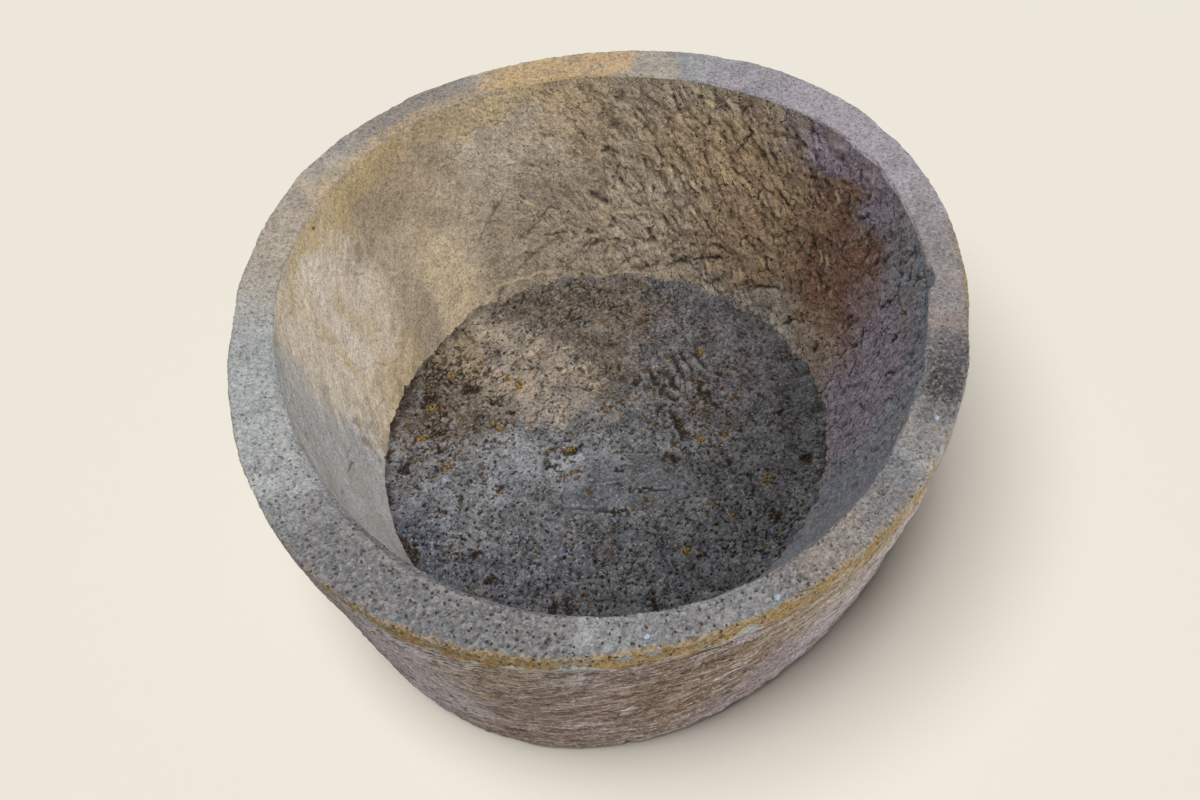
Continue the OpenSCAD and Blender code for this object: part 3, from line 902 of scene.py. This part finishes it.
# Pits in the bed: middle, half length and half width, lean and depth
BED_PITS = ((-33, -8, 8, 5, 20, 3.0), (80, 20, 17, 5, -70, 3.0), (70, -21, 8, 6, 0, 2.5),
            (-197, -122, 18, 6, -55, 3.4), (-140, 78, 12, 4, 15, 2.4), (-186, 62, 9, 4, 60, 2.6),
            (-118, 60, 10, 3, -30, 2.0), (-172, 96, 9, 3, 40, 2.4), (-96, 44, 8, 3, 10, 2.0),
            (38, 79, 9, 4, 80, 2.5), (15, -35, 6, 3, 30, 2.0), (105, 70, 16, 4, -60, 2.0),
            (38, -61, 15, 2.5, 3, 2.2), (-54, -28, 12, 3, -45, 2.4), (-206, -24, 8, 5, 60, 2.5),
            (11, -86, 10, 2.5, -8, 2.0), (169, -95, 9, 5, 30, 2.0), (209, -23, 7, 5, 80, 2.5),
            (189, 36, 5, 4, 0, 2.5), (-128, -128, 8, 5, -30, 2.4), (-52, -196, 14, 3, 75, 2.4),
            (-40, -190, 12, 3, 100, 2.2), (41, -188, 16, 2.5, 85, 2.2),
            (-105, -52, 6, 4, 10, 1.8), (-147, -66, 7, 3, -40, 1.8), (-172, 22, 7, 4, 20, 2.0),
            (-114, -160, 6, 4, 0, 2.0), (90, -140, 7, 3, 40, 1.8), (130, -30, 6, 3, -30, 1.8),
            (58, 42, 7, 3, 50, 1.8), (115, 50, 12, 3, -50, 1.8), (128, 88, 10, 3, -35, 1.6))


def tool_lines(points):
    """Relief of the tool lines, each with a low lip along one side, worn away in places."""
    shake = np.stack((lumps(points, 16, 66, 2), lumps(points, 16, 67, 2)), axis=-1)
    kept = smooth(0.75 + shake[..., 0])
    relief = np.zeros(kept.shape)
    for start, end, wide, deep in TOOL_LINES:
        run = np.array(end, float) - start
        length = np.linalg.norm(run)
        ahead = run / length
        offset = points[..., :2] - start + 1.5 * shake
        along = offset @ ahead
        across = offset @ np.array((-ahead[1], ahead[0]))
        inside = smooth(along / 6) * smooth((length - along) / 6)
        lip = bell((across - 2 * wide) / wide)
        relief += inside * kept * deep * (0.6 * lip - bell(across / wide))
    return relief


def pits_of(points):
    """Depth of the bed's pits, with ragged edges."""
    x = points[..., 0] + 3 * lumps(points, 7, 73, 3)
    y = points[..., 1] + 3 * lumps(points, 7, 74, 3)
    deep = np.zeros(x.shape)
    for middle_x, middle_y, long, wide, lean, depth in BED_PITS:
        along, across = leaning(x - middle_x, y - middle_y, lean)
        deep = np.maximum(deep, depth * bell((along / long) ** 2 + (across / wide) ** 2))
    return deep


def bed_height(a, share, edge_r):
    wall_gap = (1 - share) * edge_r
    q = np.arccos(np.clip(1 - (wall_gap - HAUNCH_LIP) / HAUNCH_W, 0, 1))
    return BED_Z + HAUNCH_H * (1 - np.sin(q))


def bed_relief(points):
    """Relief of the bed, and where painted shade darkens its holes, crevices and trowel
    troughs, from 0 to 1.
    """
    x, y = points[..., 0], points[..., 1]
    crumbly = rusty(x, y)
    front = smooth((40 - y) / 200)
    rough = 1 - 0.5 * blot(x, y, -60, -40, 110, 70)
    grit = rough * (1.2 * (0.45 - cells(points, 5.0, 61)) + 0.9 * (0.4 - cells(points, 2.8, 62)))
    uneven = 1.5 * lumps(points, 46, 63, octaves=3) + 0.5 * rough * flaked(points, 20, 75, 1)
    winding = smooth(1 - abs(lumps(points, 9, 64, octaves=2)) / (0.2 + 0.14 * crumbly))
    gaps = smooth((lumps(points, 30, 68, 2) - 0.05 + 0.25 * front + 0.6 * crumbly) / 0.4)
    size = 0.2 + 0.07 * front * rough + 0.06 * crumbly
    holes = np.clip(size - cells(points, 8.5, 65) - 0.05 * lumps(points, 5, 76, 2), 0, 1) * 14
    relief = grit + uneven - 2.2 * rough * winding * gaps - holes
    # Painted shade lies in the winding crevices, most of all where crumbs lie thick
    shaded = (0.6 + 0.9 * crumbly) * rough
    crevice_shade = np.maximum(np.clip(holes / 2, 0, 1), shaded * winding * gaps)
    worn_away = smooth(0.7 + lumps(points, 20, 69, 2))
    shaken = x + 2.5 * lumps(points, 18, 70, 2)
    for cx, cy, radius, middle, span, deep in TROWEL_ARCS:
        out = np.hypot(shaken - cx, y - cy)
        here = worn_away * hump(np.degrees(np.arctan2(y - cy, x - cx)), middle, span) ** 0.5
        trough = here * bell((out - radius) / 3.2)
        ridge = here * bell((out - radius - 7) / 3)
        relief = relief - 1.3 * deep * trough + 0.8 * deep * ridge
        crevice_shade = np.maximum(crevice_shade, 0.5 * trough)
    return relief + tool_lines(points), crevice_shade


def make_floor_bed():
    bm, number, a, share = disc(BED_STEPS, BED_STEPS)
    edge_r = inside_r_at(a, BED_Z + HAUNCH_H)
    radius = share * (edge_r + 3)
    points = around(radius, bed_height(a, share, edge_r), a)
    pits = pits_of(points)
    relief, crevice_shade = bed_relief(points)
    relief = relief - pits
    # Painted shade darkens the bed where it meets the wall
    foot = smooth(1.1 - (1 - share) * edge_r / 16) * (0.8 + 0.6 * lumps(points, 12, 77, 2))
    foot = foot * np.clip(1.6 * hump(a, 195, 105) + 0.8 * hump(a, 0, 60), 0, 1)
    values = surface_values(bed_masks(points), relief, 1.3, points,
                            0.5 + 0.5 * in_front(points[..., 1]))
    # The bed's pits, its crevices and troughs, and its foot by the wall get painted shade
    values["painted_shade"] = np.clip(np.maximum.reduce((pits / 1.6, crevice_shade, foot)), 0, 1)
    closed_below(bm, number, raised(points, np.clip(relief, -3.5, 2.5)), BASE_T + 1)
    return finished("mortar_bed", bm, values)


def make_stopper():
    bm, number, a, share = disc(*CAP_STEPS)
    swell = wavy(1, CAP_WAVES, a)
    x = CAP_L * swell * share * cosd(a) + DRAIN_AT[0]
    y = CAP_W * swell * share * sind(a) + DRAIN_AT[1]
    dome = CAP_T * np.sqrt(np.clip(1 - share ** 2, 0, 1))
    points = np.stack((x, y, BED_Z - 1.2 + dome), axis=-1)
    pits = pits_of(points)
    relief = (0.45 * lumps(points, 30, 71) + 0.5 * (0.45 - cells(points, 3.2, 72)) - pits
              + tool_lines(points))
    values = surface_values(bed_masks(points), relief, 0.7, points, 0.4)
    # The stopper's pits get painted shade
    values["painted_shade"] = np.clip(pits / 2, 0, 1)
    closed_below(bm, number, raised(points, relief), BED_Z - 4)
    plug_h = BED_Z - DRAIN_OPEN
    middle = np.append(RIM_CENTRE + DRAIN_AT, DRAIN_OPEN + plug_h / 2) * MM
    plug_r = (DRAIN_R - BEDDING) * MM
    bmesh.ops.create_cone(bm, cap_ends=True, segments=64, radius1=plug_r, radius2=plug_r,
                          depth=plug_h * MM, matrix=Matrix.Translation(middle))
    return finished("mortar_stopper", bm, values)


def surface_of(*pieces):
    """A test of how high the pieces' surface lies over a point."""
    trees = []
    for piece in pieces:
        bm = bmesh.new()
        bm.from_mesh(piece.data)
        trees.append(BVHTree.FromBMesh(bm))
        bm.free()

    def height(x, y):
        hits = [tree.ray_cast(Vector((x, y, 1.0)), Vector((0, 0, -1)))[0] for tree in trees]
        return max(hit.z for hit in hits if hit)
    return height


# Length, width and height of a stone as shares of its length
PEBBLE_FORM = (1, 0.92, 0.9)
GRAVEL_FORM = (1, 0.8, 0.7)
GRIT_FORM = (1, 0.8, 0.65)


def worn_stone(bm, height, spot, lift, length, form, rng, facets):
    """Adds one rounded, uneven stone. spot is its place from the rim's centre and lift is how
    far its middle stands over the surface there, in millimetres."""
    sizes = [length * share for share in form]
    x, y = (np.array(spot) + RIM_CENTRE) * MM
    place = Vector((x, y, height(x, y) + lift * MM))
    start = len(bm.verts)
    bmesh.ops.create_icosphere(bm, subdivisions=facets, radius=0.5)
    bm.verts.ensure_lookup_table()
    turned = Euler(tuple(rng.rand(3) * 2 * math.pi)).to_matrix()
    shift = Vector(tuple(rng.rand(3) * 50))
    for v in bm.verts[start:]:
        uneven = 1 + 0.22 * noise.noise(v.co * 3.1 + shift)
        v.co = v.co * uneven
        stretched = Vector([part * size for part, size in zip(v.co, sizes)])
        v.co = place + (turned @ stretched) * MM


def make_pebbles(height):
    bm = bmesh.new()
    rng = np.random.RandomState(81)
    for direction, share in PEBBLES:
        radius = mix(mouth_r(direction) + arris_in(direction),
                     outside_r(direction, 1.0) - OUTER_ARRIS, share)
        lift = PEBBLE_D * (0.5 - PEBBLE_SINK) + PEBBLE_PROUD
        worn_stone(bm, height, around(radius, 0, direction)[:2], lift, PEBBLE_D, PEBBLE_FORM,
                   rng, 4)
    return finished("blue_grey_pebbles", bm)


def make_clumps(height):
    """Each large grain of ochre gravel is a clump of small ones, stuck together."""
    bm = bmesh.new()
    rng = np.random.RandomState(82)
    for direction, share, size in CLUMPS:
        out = share * (wavy(FLOOR_R, FLOOR_WAVES, direction) - HAUNCH_W - GRAIN_D / 2)
        middle = around(out, 0, direction)[:2]
        for _ in range(int(5 + 11 * size)):
            away = GRAIN_D * size * 0.55 * rng.rand() ** 0.7
            spot = middle + around(away, 0, 360 * rng.rand())[:2]
            size_here = 2.2 + 3.4 * rng.rand() ** 2
            worn_stone(bm, height, spot, 0.18 * size_here, size_here, GRAVEL_FORM, rng, 2)
    return finished("ochre_gravel_clumps", bm)


def make_crumbs(height):
    """Rusty crumbs that lie in the bed's pits."""
    bm = bmesh.new()
    rng = np.random.RandomState(94)
    for middle_x, middle_y, long, wide, lean, _ in BED_PITS:
        for _ in range(int(long * wide / CRUMB_ROOM)):
            along, across = 0.8 * long * rng.uniform(-1, 1), 0.8 * wide * rng.uniform(-1, 1)
            x, y = leaning(along, across, -lean)
            size = 1.6 + 2.2 * rng.rand()
            worn_stone(bm, height, (middle_x + x, middle_y + y), 0.2 * size, size, GRAVEL_FORM,
                       rng, 1)
    return finished("pit_crumbs", bm)


def make_grit(name, height, count, sizes, chance, seed):
    """Loose looking grit that is set in the bed."""
    bm = bmesh.new()
    rng = np.random.RandomState(seed)
    placed = 0
    while placed < count:
        out, direction = GRIT_REACH * math.sqrt(rng.rand()), 360 * rng.rand()
        x, y = around(out, 0, direction)[:2]
        if rng.rand() > chance(x, y):
            continue
        size = mix(sizes[0], sizes[1], rng.rand() ** 2)
        worn_stone(bm, height, (x, y), 0.15 * size, size, GRIT_FORM, rng, 1)
        placed += 1
    return finished(name, bm)


def linear(code):
    """An sRGB hex colour as linear red, green, blue and alpha."""
    parts = [int(code[k:k + 2], 16) / 255 for k in (1, 3, 5)]
    return [p / 12.92 if p <= 0.04045 else ((p + 0.055) / 1.055) ** 2.4 for p in parts] + [1]


def add(tree, kind, inputs=None, **settings):
    """Adds a node with its settings, and links or sets its inputs."""
    node = tree.nodes.new("ShaderNode" + kind)
    for key, value in settings.items():
        setattr(node, key, value)
    for key, value in (inputs or {}).items():
        if isinstance(value, bpy.types.NodeSocket):
            tree.links.new(value, node.inputs[key])
        else:
            node.inputs[key].default_value = value
    return node


# The stone's grains, as coarse as they need to be to show, its mottles and its small holes
GRAIN_MM = 1.5
MOTTLE_MM = 26
HOLE_MM = 6.0

# Dry stone and mortar hardly shine, and water-worn grains a little more
STONE_ROUGHNESS, STONE_SPECULAR = 0.92, 0.25
GRAIN_ROUGHNESS = 0.75

# Inputs and outputs of the Mix node that are used for colours
MIX_SHARE, MIX_FROM, MIX_TO, MIX_OUT = 0, 6, 7, 2


def blended(tree, share, first, second, blend="MIX"):
    return add(tree, "Mix", {MIX_SHARE: share, MIX_FROM: first, MIX_TO: second},
               data_type="RGBA", blend_type=blend).outputs[MIX_OUT]


def painted(tree, colour, layers):
    """Lays colours over a first one, each with its own share."""
    for share, code in layers:
        colour = blended(tree, share, colour, linear(code))
    return colour


def new_material(name, roughness, specular=0.5):
    """A material with its node tree and its shader."""
    material = bpy.data.materials.new(name)
    material.use_nodes = True
    shader = material.node_tree.nodes["Principled BSDF"]
    shader.inputs["Roughness"].default_value = roughness
    shader.inputs["Specular IOR Level"].default_value = specular
    return material, material.node_tree, shader


def stone_material(name, body, stains, dark, lip, streak=(1, 1, 1), contrast=1.0, patchy=0.6,
                   specks=1.0, flake_mm=12.0, flaky=0.8, cracked=0.5, pitted=0.2, bump=1.0,
                   lines=()):
    """Weathered, tooled stone: a body of fine grains, with stains, flakes, thin cracks between
    them and small holes, with painted shade in its crevices, cracks and holes and painted
    highlights on its lips. dark is the colour of dark specks and of that painted shade, lip that
    of pale specks and of the painted highlights. streak stretches flakes and bands, and
    lines are colours of fine layers: each has the band values where it starts and is full."""
    material, tree, shader = new_material(name, STONE_ROUGHNESS, STONE_SPECULAR)

    def noise_of(vector, size, detail):
        return add(tree, "TexNoise", {"Vector": vector, "Scale": 1000 / size, "Detail": detail,
                                      "Roughness": 0.6}).outputs["Fac"]

    def ranged(value, low, high, strength=1.0):
        """From 0 at low to strength at high."""
        return add(tree, "MapRange", {0: value, 1: low, 2: high, 4: strength}).outputs[0]

    def times(*values):
        product = values[0]
        for value in values[1:]:
            product = add(tree, "Math", {0: product, 1: value}, operation="MULTIPLY").outputs[0]
        return product

    def plus(first, second, share):
        return add(tree, "Math", {0: second, 1: share, 2: first},
                   operation="MULTIPLY_ADD").outputs[0]

    def attribute(key):
        return add(tree, "Attribute", attribute_name=key).outputs["Fac"]

    def scattered(vector, size):
        """Cells of a size: how far each point is from its cell's middle, and three values
        from 0 to 1 that each cell has by chance."""
        made = add(tree, "TexVoronoi", {"Vector": vector, "Scale": 1000 / size}).outputs
        return made["Distance"], add(tree, "SeparateColor", {0: made["Color"]}).outputs

    place = add(tree, "TexCoord").outputs["Object"]
    x, y, _ = add(tree, "SeparateXYZ", {0: place}).outputs
    layered_place = add(tree, "CombineXYZ", {0: x, 1: y, 2: attribute("bed")}).outputs[0]
    drawn = add(tree, "Mapping", {"Vector": layered_place,
                                  "Scale": [1 / s for s in streak]}).outputs[0]
    fine = noise_of(place, GRAIN_MM, 2.0)
    bands = noise_of(drawn, 3 * GRAIN_MM, 3.0)
    mottle = noise_of(drawn, MOTTLE_MM, 6.0)
    wobble = add(tree, "TexNoise", {"Vector": place, "Scale": 1000 / HOLE_MM, "Detail": 3.0})
    bent = add(tree, "VectorMath", {0: wobble.outputs["Color"], 1: [0.5 * flake_mm * MM] * 3,
                                    2: drawn}, operation="MULTIPLY_ADD").outputs[0]
    flake = scattered(bent, flake_mm)[1][0]
    edge = add(tree, "TexVoronoi", {"Vector": bent, "Scale": 1000 / flake_mm},
               feature="DISTANCE_TO_EDGE").outputs["Distance"]
    luck = scattered(place, 1.25 * GRAIN_MM)[1]
    from_hole, chance = scattered(place, HOLE_MM)
    rough = attribute("rough")
    # Where the stone was worked smooth, its grain shows less
    grainy = ranged(rough, -0.4, 0.6)

    # The body and its stains, whose edges are uneven
    layers = [(ranged(mottle, 0.35, 0.65), body[1])]
    uneven = plus(times(fine, 0.5), mottle, 1.5)
    for stain, code in stains:
        layers.append((ranged(times(attribute(stain), uneven), 0.0, 0.95), code))
    for start, full, strength, code in lines:
        layers.append((ranged(bands, start, full, strength), code))
    # Single grains that are warmer, cooler, darker or paler than the rest
    layers += [(ranged(luck[0], 0.80, 0.84, 0.13 * contrast), "#9a7238"),
               (ranged(luck[1], 0.80, 0.84, 0.13 * contrast), "#8f979f"),
               (ranged(luck[2], 0.88, 0.92, 0.4 * specks), dark),
               (ranged(luck[2], 0.12, 0.08, 0.3 * specks), lip)]
    colour = painted(tree, linear(body[0]), layers)

    # Each grain is a little lighter or darker than its neighbours
    shade = plus(plus(plus(fine, bands, 0.8), luck[0], 0.5), mottle, patchy)
    shade = plus(shade, times(flake, rough), 0.3 * flaky)
    middle = 0.5 * (2.3 + patchy + 0.2 * flaky)
    light = add(tree, "MapRange", {0: shade, 1: middle - 0.75, 2: middle + 0.75,
                                   3: max(0.08, 1 - 0.8 * contrast),
                                   4: 1 + 0.9 * contrast}).outputs[0]
    grey = add(tree, "CombineColor", {0: light, 1: light, 2: light}).outputs[0]
    colour = blended(tree, grainy, colour, grey, "MULTIPLY")

    # Thin cracks run between flakes, in patches, and break off
    cracks = times(ranged(edge, 0.07, 0.02), ranged(mottle, 0.46, 0.56, cracked), rough,
                   ranged(wobble.outputs["Fac"], 0.46, 0.54))
    pits = times(ranged(plus(from_hole, fine, 0.5), 0.50, 0.40),
                 ranged(chance[0], 1 - pitted, 1 - 0.8 * pitted), rough)
    # Painted shade darkens the crevices, the thin cracks, the holes and what the pieces mark as
    # shaded, and painted highlights pale the lips
    relief = attribute("relief")
    colour = painted(tree, colour, ((ranged(relief, -0.25, -1.0, 0.75), dark),
                                    (ranged(relief, 0.25, 1.0, 0.35), lip),
                                    (cracks, dark), (pits, dark),
                                    (times(attribute("painted_shade"), ranged(fine, 0.3, 0.5)), "#2c221d"),
                                    (times(attribute("lip"), 0.8), "#d2be96")))
    tree.links.new(colour, shader.inputs["Base Color"])

    surface = plus(plus(plus(fine, bands, 1.4), cracks, -1.0), pits, -2.0)
    surface = plus(surface, times(flake, rough), flaky)
    bumped = add(tree, "Bump", {"Strength": grainy, "Distance": MM * bump, "Height": surface})
    tree.links.new(bumped.outputs[0], shader.inputs["Normal"])
    return material


def grain_material(name, first, second, size):
    """Small water-worn or broken grains, each uneven in colour."""
    material, tree, shader = new_material(name, GRAIN_ROUGHNESS)
    place = add(tree, "TexCoord").outputs["Object"]
    blotch = add(tree, "TexNoise", {"Vector": place, "Scale": 1000 / size, "Detail": 4.0})
    share = add(tree, "MapRange", {0: blotch.outputs["Fac"], 1: 0.35, 2: 0.65}).outputs[0]
    tree.links.new(painted(tree, linear(first), [(share, second)]), shader.inputs["Base Color"])
    rough = add(tree, "Bump", {"Strength": 0.4, "Distance": 0.4 * MM,
                               "Height": blotch.outputs["Fac"]})
    tree.links.new(rough.outputs[0], shader.inputs["Normal"])
    return material


def dress(piece, material, slot, *nodes):
    piece.data.materials.clear()
    piece.data.materials.append(material)
    if nodes:
        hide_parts(*nodes)


# The stains' colours, in the order of their names in STAINS and BED_STAINS
HOLLOW_COLOURS = ("#938674", "#78594a", "#7a828e", "#887f90", "#adadab", "#d0c3b2", "#b9a272",
                  "#a18a6a")
RIM_COLOURS = ("#857d76", "#79604f", "#434144", "#99939a", "#9da0a0", "#a69a89", "#8d764c",
               "#b59b75")
WALL_COLOURS = ("#786e65", "#725d4a", "#6f6c6c", "#8c8796", "#bab5bc", "#9c8d75", "#8b7048",
                "#a58963")
BED_COLOURS = ("#65594d", "#625e62", "#4b505b", "#82858a", "#9a8c7b", "#8a7852", "#4d3c2a")

outer_wall = make_outer_wall()
hollow_pieces = make_hollow()
rim = make_rim()
bed = make_floor_bed()
stopper = make_stopper()
on_rim = surface_of(rim)
on_bed = surface_of(bed, stopper)
pebbles = make_pebbles(on_rim)
clumps = make_clumps(on_bed)
dark_grit = make_grit("dark_grit", on_bed, 500, (1.6, 4.0), anywhere, 91)
pale_grit = make_grit("pale_grit", on_bed, 300, (1.2, 2.8), anywhere, 92)
rust_grit = make_grit("rust_grit", on_bed, 600, (1.6, 4.4), rusty, 93)
crumbs = make_crumbs(on_bed)
pieces = [outer_wall, *hollow_pieces, rim, bed, stopper, pebbles, clumps, dark_grit, pale_grit,
          rust_grit, crumbs]

# Sandstone, split along its beds: brownish beige with fine whitish and brown layers
dress(outer_wall, stone_material("split_sandstone", ("#7f6b58", "#8d8486"),
                                 zip(STAINS, WALL_COLOURS), "#4a3a2e", "#c9c0bb",
                                 streak=(6, 6, 0.6), contrast=1.1, flake_mm=6.0, flaky=0.5,
                                 cracked=0.9, pitted=0.0,
                                 lines=((0.57, 0.63, 0.55, "#bdb7b9"),
                                        (0.44, 0.37, 0.6, "#654e33"))),
      "sandstone", "stone_bowl")
# Sandstone, tooled with a point chisel: granular, with dark crevices and pale cut lips
chiselled = stone_material("chiselled_sandstone", ("#988a77", "#b0a18d"),
                           zip(STAINS, HOLLOW_COLOURS), "#3d322a", "#cdbfa6",
                           streak=(1.2, 1.2, 1), contrast=1.25, specks=0.6, flaky=1.0,
                           cracked=0.8)
for piece in hollow_pieces:
    dress(piece, chiselled, "sandstone", "stone_bowl")
# Sandstone, rubbed and weathered on the rim: grey, fine, with pits
dress(rim, stone_material("weathered_sandstone", ("#858689", "#959698"),
                          zip(STAINS, RIM_COLOURS), "#4c3d33", "#bdb8b0", contrast=1.2,
                          specks=0.4, flaky=0.3, cracked=0.2, pitted=0.9, bump=0.8),
      "sandstone", "stone_bowl")
# Coarse lime mortar with grit: dark grey and rough
dress(bed, stone_material("gritty_mortar", ("#57595c", "#696b6e"),
                          zip(BED_STAINS, BED_COLOURS), "#222022", "#a8a7a6", contrast=1.4,
                          patchy=1.2, flake_mm=13.0, flaky=1.0, cracked=0.4, pitted=0.6,
                          bump=1.3),
      "coarse_mortar", "floor_bed")
# Trowelled mortar, worn smooth: mid grey
dress(stopper, stone_material("trowelled_mortar", ("#56595e", "#66696e"),
                              zip(BED_STAINS, BED_COLOURS), "#282729", "#a8a7a6",
                              contrast=1.3, patchy=1.2, cracked=0.7, pitted=0.4),
      "smooth_mortar", "drain_stopper")
# Water-worn blue-grey pebble
dress(pebbles, grain_material("blue_grey_pebble", "#8f9cab", "#b3bfca", 3.0),
      "blue_grey_pebble", "rim_pebbles")
# Iron-stained gravel, ochre to rust
dress(clumps, grain_material("ochre_gravel", "#6b5024", "#987a3e", 3.0), "ochre_gravel",
      "ochre_gravel")
rusty_grit = grain_material("rusty_grit", "#3b2f26", "#7f6134", 4.0)
dress(rust_grit, rusty_grit, "ochre_gravel")
dress(crumbs, rusty_grit, "ochre_gravel")
# Broken basalt grit
dress(dark_grit, grain_material("dark_grit", "#29282a", "#3b3a3c", 3.0), "coarse_mortar")
# Broken limestone grit
dress(pale_grit, grain_material("pale_grit", "#77746f", "#989489", 3.0), "coarse_mortar")

# Plain pale floor
bm = bmesh.new()
bmesh.ops.create_grid(bm, x_segments=1, y_segments=1, size=FLOOR_HALF)
floor = meshed("floor", bm)
pale_paper, _, paper = new_material("pale_paper", 1.0, 0.0)
paper.inputs["Base Color"].default_value = linear(BACKDROP)
floor.data.materials.append(pale_paper)


def lamp(receivers, name, share, direction, height, softness):
    """A distant, soft lamp that gives its share of the light on a level surface, and lights
    only its receivers."""
    data = bpy.data.lights.new(name, "SUN")
    data.energy = share * math.pi / float(sind(height))
    data.angle = math.radians(softness)
    made = linked(name, data)
    flat = float(cosd(height))
    towards = Vector((float(cosd(direction)) * flat, float(sind(direction)) * flat,
                      float(sind(height))))
    made.rotation_euler = towards.to_track_quat("Z", "Y").to_euler()
    lit = bpy.data.collections.new("lit_by_" + name)
    for piece in receivers:
        lit.objects.link(piece)
    made.light_linking.receiver_collection = lit


# Soft light: lamps from above, from the upper left and from the lower right, which reaches
# into the hollow, light the planter. The floor has its own, which lay the shadow to the right
for settings in PLANTER_LAMPS:
    lamp(pieces, *settings)
for settings in FLOOR_LAMPS:
    lamp([floor], *settings)

world = bpy.data.worlds.new("sky")
bpy.context.scene.world = world
world.use_nodes = True
sky = world.node_tree
seen = add(sky, "LightPath").outputs["Is Camera Ray"]
strength = add(sky, "MapRange", {0: seen, 3: SKY_LIGHT, 4: 1.0}).outputs[0]
background = sky.nodes["Background"]
colour = painted(sky, (1, 1, 1, 1), [(seen, BACKDROP)])
sky.links.new(colour, background.inputs["Color"])
sky.links.new(strength, background.inputs["Strength"])

# The camera stands where the photograph was taken from
AIM = Vector((-2.8, -116.7, 295.0))
CAMERA_DISTANCE = 1208.1
CAMERA_ELEVATION = math.radians(52.36)
CAMERA_ROLL = -0.029
LENS = 42.0
forward = Vector((0, math.cos(CAMERA_ELEVATION), -math.sin(CAMERA_ELEVATION)))
side = Vector((1, 0, 0))
up = side.cross(forward)
right = side * math.cos(CAMERA_ROLL) + up * math.sin(CAMERA_ROLL)
top = up * math.cos(CAMERA_ROLL) - side * math.sin(CAMERA_ROLL)
place = (AIM - forward * CAMERA_DISTANCE + Vector((*RIM_CENTRE, 0))) * MM
camera_data = bpy.data.cameras.new("camera")
camera_data.lens = LENS
camera_data.sensor_width = 36.0
camera = linked("camera", camera_data)
turned = Matrix((right, top, -forward)).transposed().to_4x4()
camera.matrix_world = Matrix.Translation(place) @ turned
bpy.context.scene.camera = camera
bpy.context.scene.view_settings.view_transform = "Standard"
